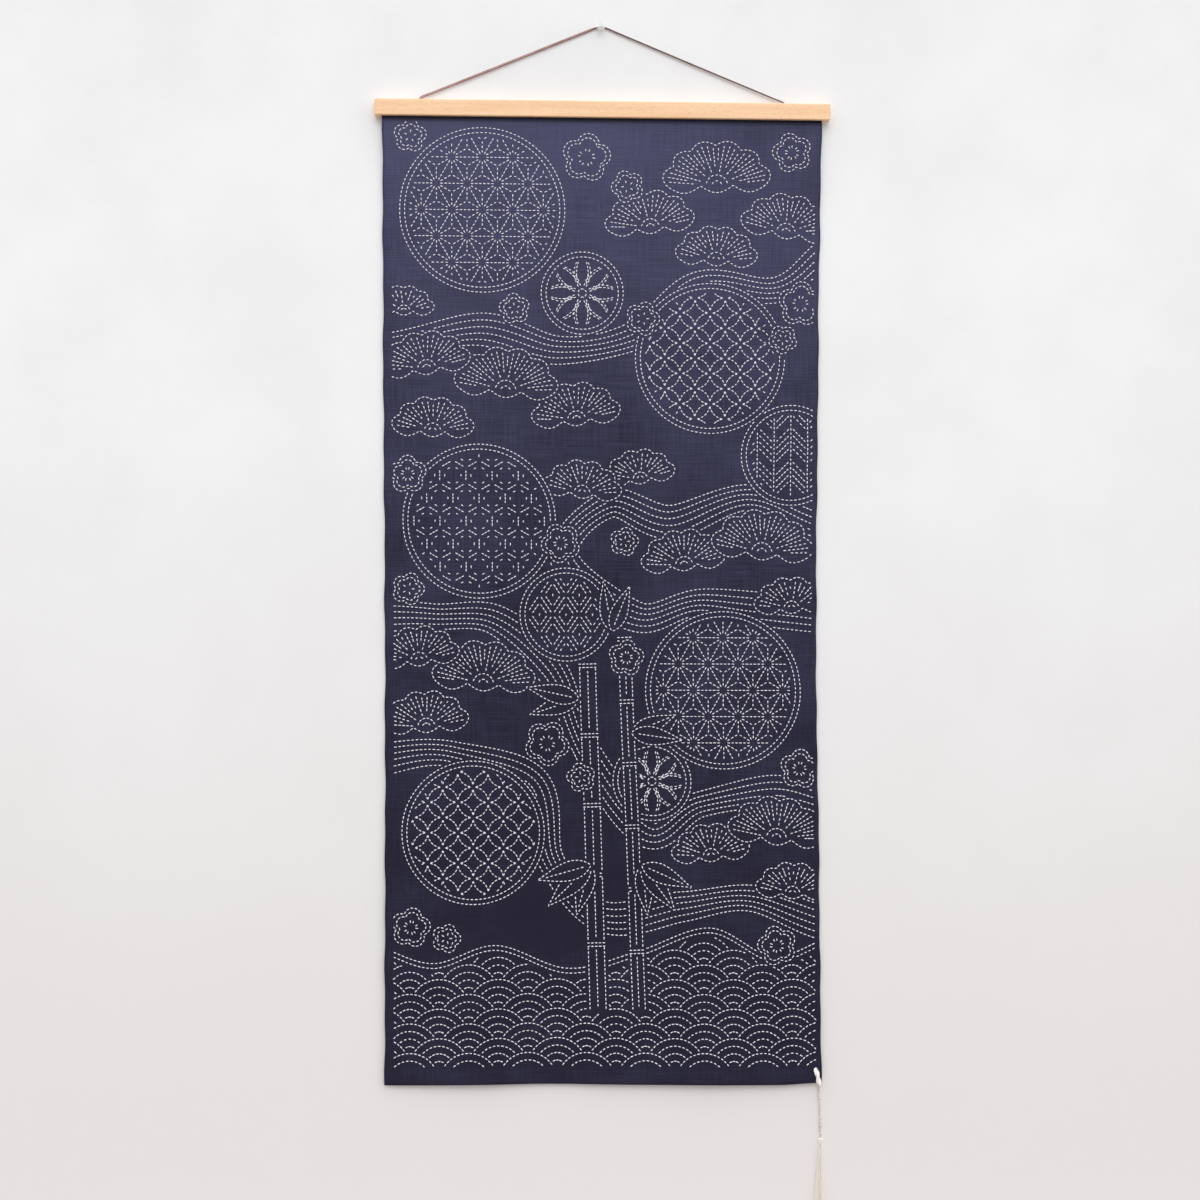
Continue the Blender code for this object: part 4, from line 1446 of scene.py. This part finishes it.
class SASHIKO_OT_tassel(bpy.types.Operator):
    """Sew the thread loop through the hem, and hang the twisted cord, its knot and its loose strands"""

    bl_idname = "sashiko.tassel"
    bl_label = "Loop, cord and tassel"

    def execute(self, context):
        settings = context.scene.sashiko_tassel
        thread = cotton_thread("Cream cotton thread", settings.colour, settings.shade, flecks=0.5)
        bleached = cotton_thread("Bleached cotton loop", settings.loop_colour, settings.loop_shade)
        frayed = cotton_thread("Loose cotton strands", settings.strand_colour, settings.strand_shade)

        loop_path = smooth_curve(loop_route(), 0.45 * MM)
        plies = laid_plies(loop_path, 2, LOOP_PLY_RADIUS, LOOP_LAY, LOOP_PITCH, sides=14)
        loop = add_object("hem_loop", mesh_of("hem_loop", *joined(plies)), bleached)
        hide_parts("cord_loop")
        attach(loop, ROOT)

        path = smooth_curve(cord_route(), 0.4 * MM)
        below = np.linspace(0, path[-1][2] - TASSEL_LOW.z, 160)[1:, None]
        hanging = path[-1] + below * np.array((0, 0, -1.0))
        whole = np.vstack((path, hanging))
        run = run_of(whole)
        # Below the knot the two plies stop turning and hang on as the tassel's middle strands.
        loose = np.clip((run - run[len(path) - 1] - 4 * MM) / (10 * MM), 0, 1)
        plies = laid_plies(
            whole, 2, CORD_PLY_RADIUS, CORD_LAY, CORD_PITCH, sides=12, start=math.pi / 2,
            sizes=1 + 0.4 * np.clip(1 - run / (16 * MM), 0, 1) - 0.35 * loose,
            turning=1 - loose,
        )
        cord = add_object("twisted_cord", mesh_of("twisted_cord", *joined(plies)), thread)
        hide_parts("tassel_cord")
        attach(cord, ROOT)

        loose_threads = self.knot(path[-1]) + self.threads(path[-1], settings)
        tassel = add_object("tassel_threads", mesh_of("tassel_threads", *joined(loose_threads)), frayed)
        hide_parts("tassel")
        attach(tassel, ROOT)
        return {"FINISHED"}

    @staticmethod
    def knot(cord_end):
        """An overhand knot drawn tight: a trefoil of two-ply cord."""
        centre = cord_end + np.array((0, 0, -2.9 * MM))
        t = np.linspace(0, 2 * math.pi, 120)
        size = 0.62 * MM
        path = centre + size * np.stack((
            np.sin(t) + 2 * np.sin(2 * t),
            -1.3 * np.sin(3 * t),
            np.cos(t) - 2 * np.cos(2 * t),
        ), axis=1)
        return [swept(path, section_of(10, 1.0 * MM, 1.0 * MM))]

    @staticmethod
    def threads(cord_end, settings):
        """Loose threads that leave the knot together, part on their way down and end unevenly."""
        generator = np.random.default_rng(settings.seed)
        centre = cord_end + np.array((0, 0, -4.2 * MM))
        end_z = TASSEL_LOW.z
        radius = settings.thickness / 2
        lobes = []
        for angle in np.linspace(0, 2 * math.pi, 8, endpoint=False):
            reach = radius * (0.62 + 0.38 * abs(math.cos(angle)))
            lobes.append((reach * math.cos(angle), reach * math.sin(angle)))
        parts = []
        for index in range(settings.strands):
            angle = 2.4 * index
            spread = math.sqrt((index + 0.5) / settings.strands)
            length = (centre[2] - end_z) * (1 - 0.12 * generator.random())
            waver = generator.uniform(-1, 1, 4)
            share = np.linspace(0, 1, int(length / (0.8 * MM)))
            opening = 1.3 * MM + (5.0 * share**0.8) * MM
            x = centre[0] + spread * np.cos(angle) * opening - 2.4 * MM * share
            y = centre[1] + spread * np.sin(angle) * (1.5 * MM + 1.2 * MM * share)
            sway = waver[0] * np.sin(7 * share + waver[1]) + 0.6 * np.sin(15 * share + 3 * waver[2])
            x += 0.5 * MM * share * sway
            y += 0.4 * MM * share * waver[3] * np.sin(6 * share)
            path = np.stack((x, y, centre[2] - share * length), axis=1)
            turns = 2 * math.pi * run_of(path) / (4.5 * MM) + angle
            parts.append(swept(path, lobes, turns))
        return parts


class SASHIKO_OT_pin(bpy.types.Operator):
    """Turn the clear push pin and finish its needle"""

    bl_idname = "sashiko.pin"
    bl_label = "Push pin"

    def execute(self, context):
        settings = context.scene.sashiko_pin
        front = PIN_LOW.y
        rear = -PIN_STAND_OFF
        head, flange = PIN_HIGH.x, 4.3 * MM
        profile = [(0, front + 0.35 * MM), (1.6 * MM, front + 0.25 * MM), (head - 1.1 * MM, front)]
        profile += self.rim(head - 0.75 * MM, front + 1.0 * MM, 0.75 * MM, 1.0 * MM, np.linspace(-80, 80, 7))
        for share in np.linspace(0, 1, 6):
            waist = PIN_WAIST_RADIUS + 1.0 * MM * (1 - math.sin(math.pi * (0.12 + 0.38 * share)))
            profile.append((waist, front + (2.2 + 1.4 * share) * MM))
        profile += [(PIN_WAIST_RADIUS, rear - 3.0 * MM), (PIN_WAIST_RADIUS + 0.3 * MM, rear - 2.4 * MM)]
        profile += self.rim(flange - 0.6 * MM, rear - 1.2 * MM, 0.6 * MM, 0.8 * MM, np.linspace(-70, 20, 5))
        hole = NEEDLE_RADIUS + 0.15 * MM
        profile += [(flange, rear), (hole, rear), (hole, rear - 7.45 * MM), (0, rear - 7.45 * MM)]
        pin = add_object("push_pin", turned_mesh("push_pin", profile), clear_plastic(settings))
        pin.data.set_sharp_from_angle(angle=math.radians(50))
        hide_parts("wall_pin")
        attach(pin, ROOT)
        dress_node("pin_needle", needle_steel())
        return {"FINISHED"}

    @staticmethod
    def rim(radius, y, across, deep, degrees):
        """Profile points of a rounded rim, at angles about (radius, y)."""
        angles = np.radians(degrees)
        return [(radius + across * math.cos(a), y + deep * math.sin(a)) for a in angles]


def dress_node(node, material):
    """Gives a node of the frame a better material."""
    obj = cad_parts[node]
    if not obj.material_slots:
        obj.data.materials.append(material)
    for slot in obj.material_slots:
        slot.material = material


class SASHIKO_OT_bar(bpy.types.Operator):
    """Finish the two beech strips of the hanger bar"""

    bl_idname = "sashiko.bar"
    bl_label = "Hanger bar"

    def execute(self, context):
        beech = oiled_beech(context.scene.sashiko_bar)
        for node in ("bar_front", "bar_back"):
            dress_node(node, beech)
        return {"FINISHED"}


class SASHIKO_OT_cloth(bpy.types.Operator):
    """Hang the indigo cloth from the bar, with its hem and its eyelet"""

    bl_idname = "sashiko.cloth"
    bl_label = "Cloth"

    def execute(self, context):
        settings = context.scene.sashiko_cloth
        columns = round(PATTERN_WIDTH * MM / settings.mesh_size)
        hem_top = CLOTH_DROP - HEM_HEIGHT
        rows = round((hem_top + CLAMPED) / settings.mesh_size)
        # Even rows down to the hem's stitched fold, then closer ones over its step and its lower edge
        drops = np.concatenate((
            np.linspace(-CLAMPED, hem_top - 1.0 * MM, rows),
            [hem_top, hem_top + 1.5 * MM],
            np.linspace(hem_top + 4 * MM, CLOTH_DROP - 0.8 * MM, 5),
            [CLOTH_DROP],
        ))
        shares = np.linspace(0, 1, columns + 1)
        front = cloth_front(shares[None, :], drops[:, None])
        hem = np.clip((drops - (hem_top - 0.5 * MM)) / (1.0 * MM), 0, 1)
        back = front.copy()
        back[:, :, 1] += settings.thickness + (HEM_EXTRA + 0.2 * MM) * hem[:, None]
        # Rounded edge: the last rows and columns of the front draw back to half the thickness.
        front[-1, :, 1] += settings.thickness / 2
        front[:, 0, 1] += settings.thickness / 2
        front[:, -1, 1] += settings.thickness / 2
        wide, tall = len(shares), len(drops)
        layer = wide * tall
        points = np.vstack((front.reshape(-1, 3), back.reshape(-1, 3)))
        across = (shares - 0.5) * PATTERN_WIDTH * MM
        flat = np.stack((np.tile(across, tall), np.repeat(-drops, wide)), axis=1)
        flat = np.vstack((flat, flat))
        grid = np.arange(layer).reshape(tall, wide)
        first = grid[:-1, :-1].ravel()
        quads = np.stack((first, first + wide, first + wide + 1, first + 1), axis=1)
        faces = np.vstack((quads, layer + quads[:, ::-1])).tolist()
        for edge in (grid[0, ::-1], grid[-1], grid[:, 0], grid[::-1, -1]):
            for a, b in zip(edge.tolist(), edge[1:].tolist()):
                faces.append((b, a, layer + a, layer + b))
        uvs = [flat[index] for face in faces for index in face]
        mesh = mesh_of("indigo_cloth", points.tolist(), faces, uvs, "Flat cloth")
        mesh.set_sharp_from_angle(angle=math.radians(60))
        cloth = add_object("indigo_cloth", mesh, indigo_cotton(settings))
        self.cut_eyelet(cloth)
        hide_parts("cloth")
        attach(cloth, ROOT)
        return {"FINISHED"}

    @staticmethod
    def cut_eyelet(cloth):
        """Cut the round hole that the loop goes through."""
        eye = eyelet_centre()
        radius = LOOP_RADIUS + 0.4 * MM
        reach = 6 * MM
        profile = [(0, -reach), (radius, -reach), (radius, reach), (0, reach)]
        cutter = add_object("eyelet_cutter", turned_mesh("eyelet_cutter", profile, 24))
        cutter.location = eye
        modifier = cloth.modifiers.new("Eyelet", "BOOLEAN")
        modifier.operation = "DIFFERENCE"
        modifier.object = cutter
        modifier.solver = "EXACT"
        bpy.context.view_layer.update()
        graph = bpy.context.evaluated_depsgraph_get()
        cut = bpy.data.meshes.new_from_object(cloth.evaluated_get(graph), depsgraph=graph)
        cloth.modifiers.clear()
        material = cloth.data.materials[0]
        cloth.data = cut
        cut.name = "indigo_cloth"
        cut.materials.clear()
        cut.materials.append(material)
        bpy.data.objects.remove(cutter, do_unlink=True)


class SASHIKO_OT_stitches(bpy.types.Operator):
    """Sew the pattern's running stitches, on the front and on the back"""

    bl_idname = "sashiko.stitches"
    bl_label = "Stitches"

    def execute(self, context):
        settings = context.scene.sashiko_stitch
        cloth_settings = context.scene.sashiko_cloth
        thread = cotton_thread("White sashiko thread", settings.colour, settings.shade)
        tree = stitch_tree()
        front_rings = ((-0.40, 0.80, 0.12), (0.0, 1.0, 0.26), (0.40, 0.80, 0.12))
        back_rings = ((-0.28, 0.85, 0.10), (0.28, 0.85, 0.10))
        front = add_object("front_stitch", stitch_shape("front_stitch", 5, front_rings))
        back = add_object("back_stitch", stitch_shape("back_stitch", 4, back_rings))
        lines = pattern_lines()
        heights = np.array([line[0][1] for line in lines])
        edges = np.quantile(heights, (0, 1 / 3, 2 / 3, 1))
        pieces = []
        for band, (low, high) in zip(("lower", "middle", "upper"), zip(edges, edges[1:])):
            chosen = [
                line for line, height in zip(lines, heights)
                if low <= height < high or height == high == edges[-1]
            ]
            common = {"Pitch": settings.pitch, "Seed": settings.seed}
            pieces.append(sewn(f"stitches_{band}", chosen, front, tree, thread, {
                **common, "Stitch length": settings.length, "Thread thickness": settings.thickness,
            }))
            pieces.append(sewn(f"stitch_backs_{band}", chosen, back, tree, thread, {
                **common, "Stitch length": settings.back_length, "Thread thickness": settings.thickness,
                "Along shift": settings.pitch / 2, "Depth shift": -cloth_settings.thickness,
                "Turned over": math.pi,
            }))
        for stitch in (front, back):
            bpy.data.objects.remove(stitch, do_unlink=True)
        for piece in pieces:
            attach(piece, ROOT)
        return {"FINISHED"}


class SASHIKO_PT_panel(bpy.types.Panel):
    """Lists the pieces of the wall hanging"""

    bl_label = "Sashiko wall hanging"
    bl_idname = "SASHIKO_PT_panel"
    bl_space_type = "VIEW_3D"
    bl_region_type = "UI"
    bl_category = "Sashiko"

    def draw(self, context):
        for operator in OPERATORS:
            self.layout.operator(operator.bl_idname)


GROUPS = {
    "sashiko_cloth": ClothSettings,
    "sashiko_stitch": StitchSettings,
    "sashiko_bar": BarSettings,
    "sashiko_lace": LaceSettings,
    "sashiko_pin": PinSettings,
    "sashiko_tassel": TasselSettings,
    "sashiko_stage": StageSettings,
}
OPERATORS = (
    SASHIKO_OT_stage, SASHIKO_OT_lace, SASHIKO_OT_tassel, SASHIKO_OT_pin, SASHIKO_OT_bar, SASHIKO_OT_cloth,
    SASHIKO_OT_stitches,
)


def register():
    for group in GROUPS.values():
        bpy.utils.register_class(group)
    for operator in OPERATORS:
        bpy.utils.register_class(operator)
    bpy.utils.register_class(SASHIKO_PT_panel)
    for name, group in GROUPS.items():
        setattr(bpy.types.Scene, name, PointerProperty(type=group))


def unregister():
    for name in GROUPS:
        delattr(bpy.types.Scene, name)
    bpy.utils.unregister_class(SASHIKO_PT_panel)
    for kind in (*OPERATORS, *GROUPS.values()):
        bpy.utils.unregister_class(kind)


def main():
    register()
    for name in ("stage", "lace", "tassel", "pin", "bar", "cloth", "stitches"):
        getattr(bpy.ops.sashiko, name)()


if __name__ == "__main__":
    main()
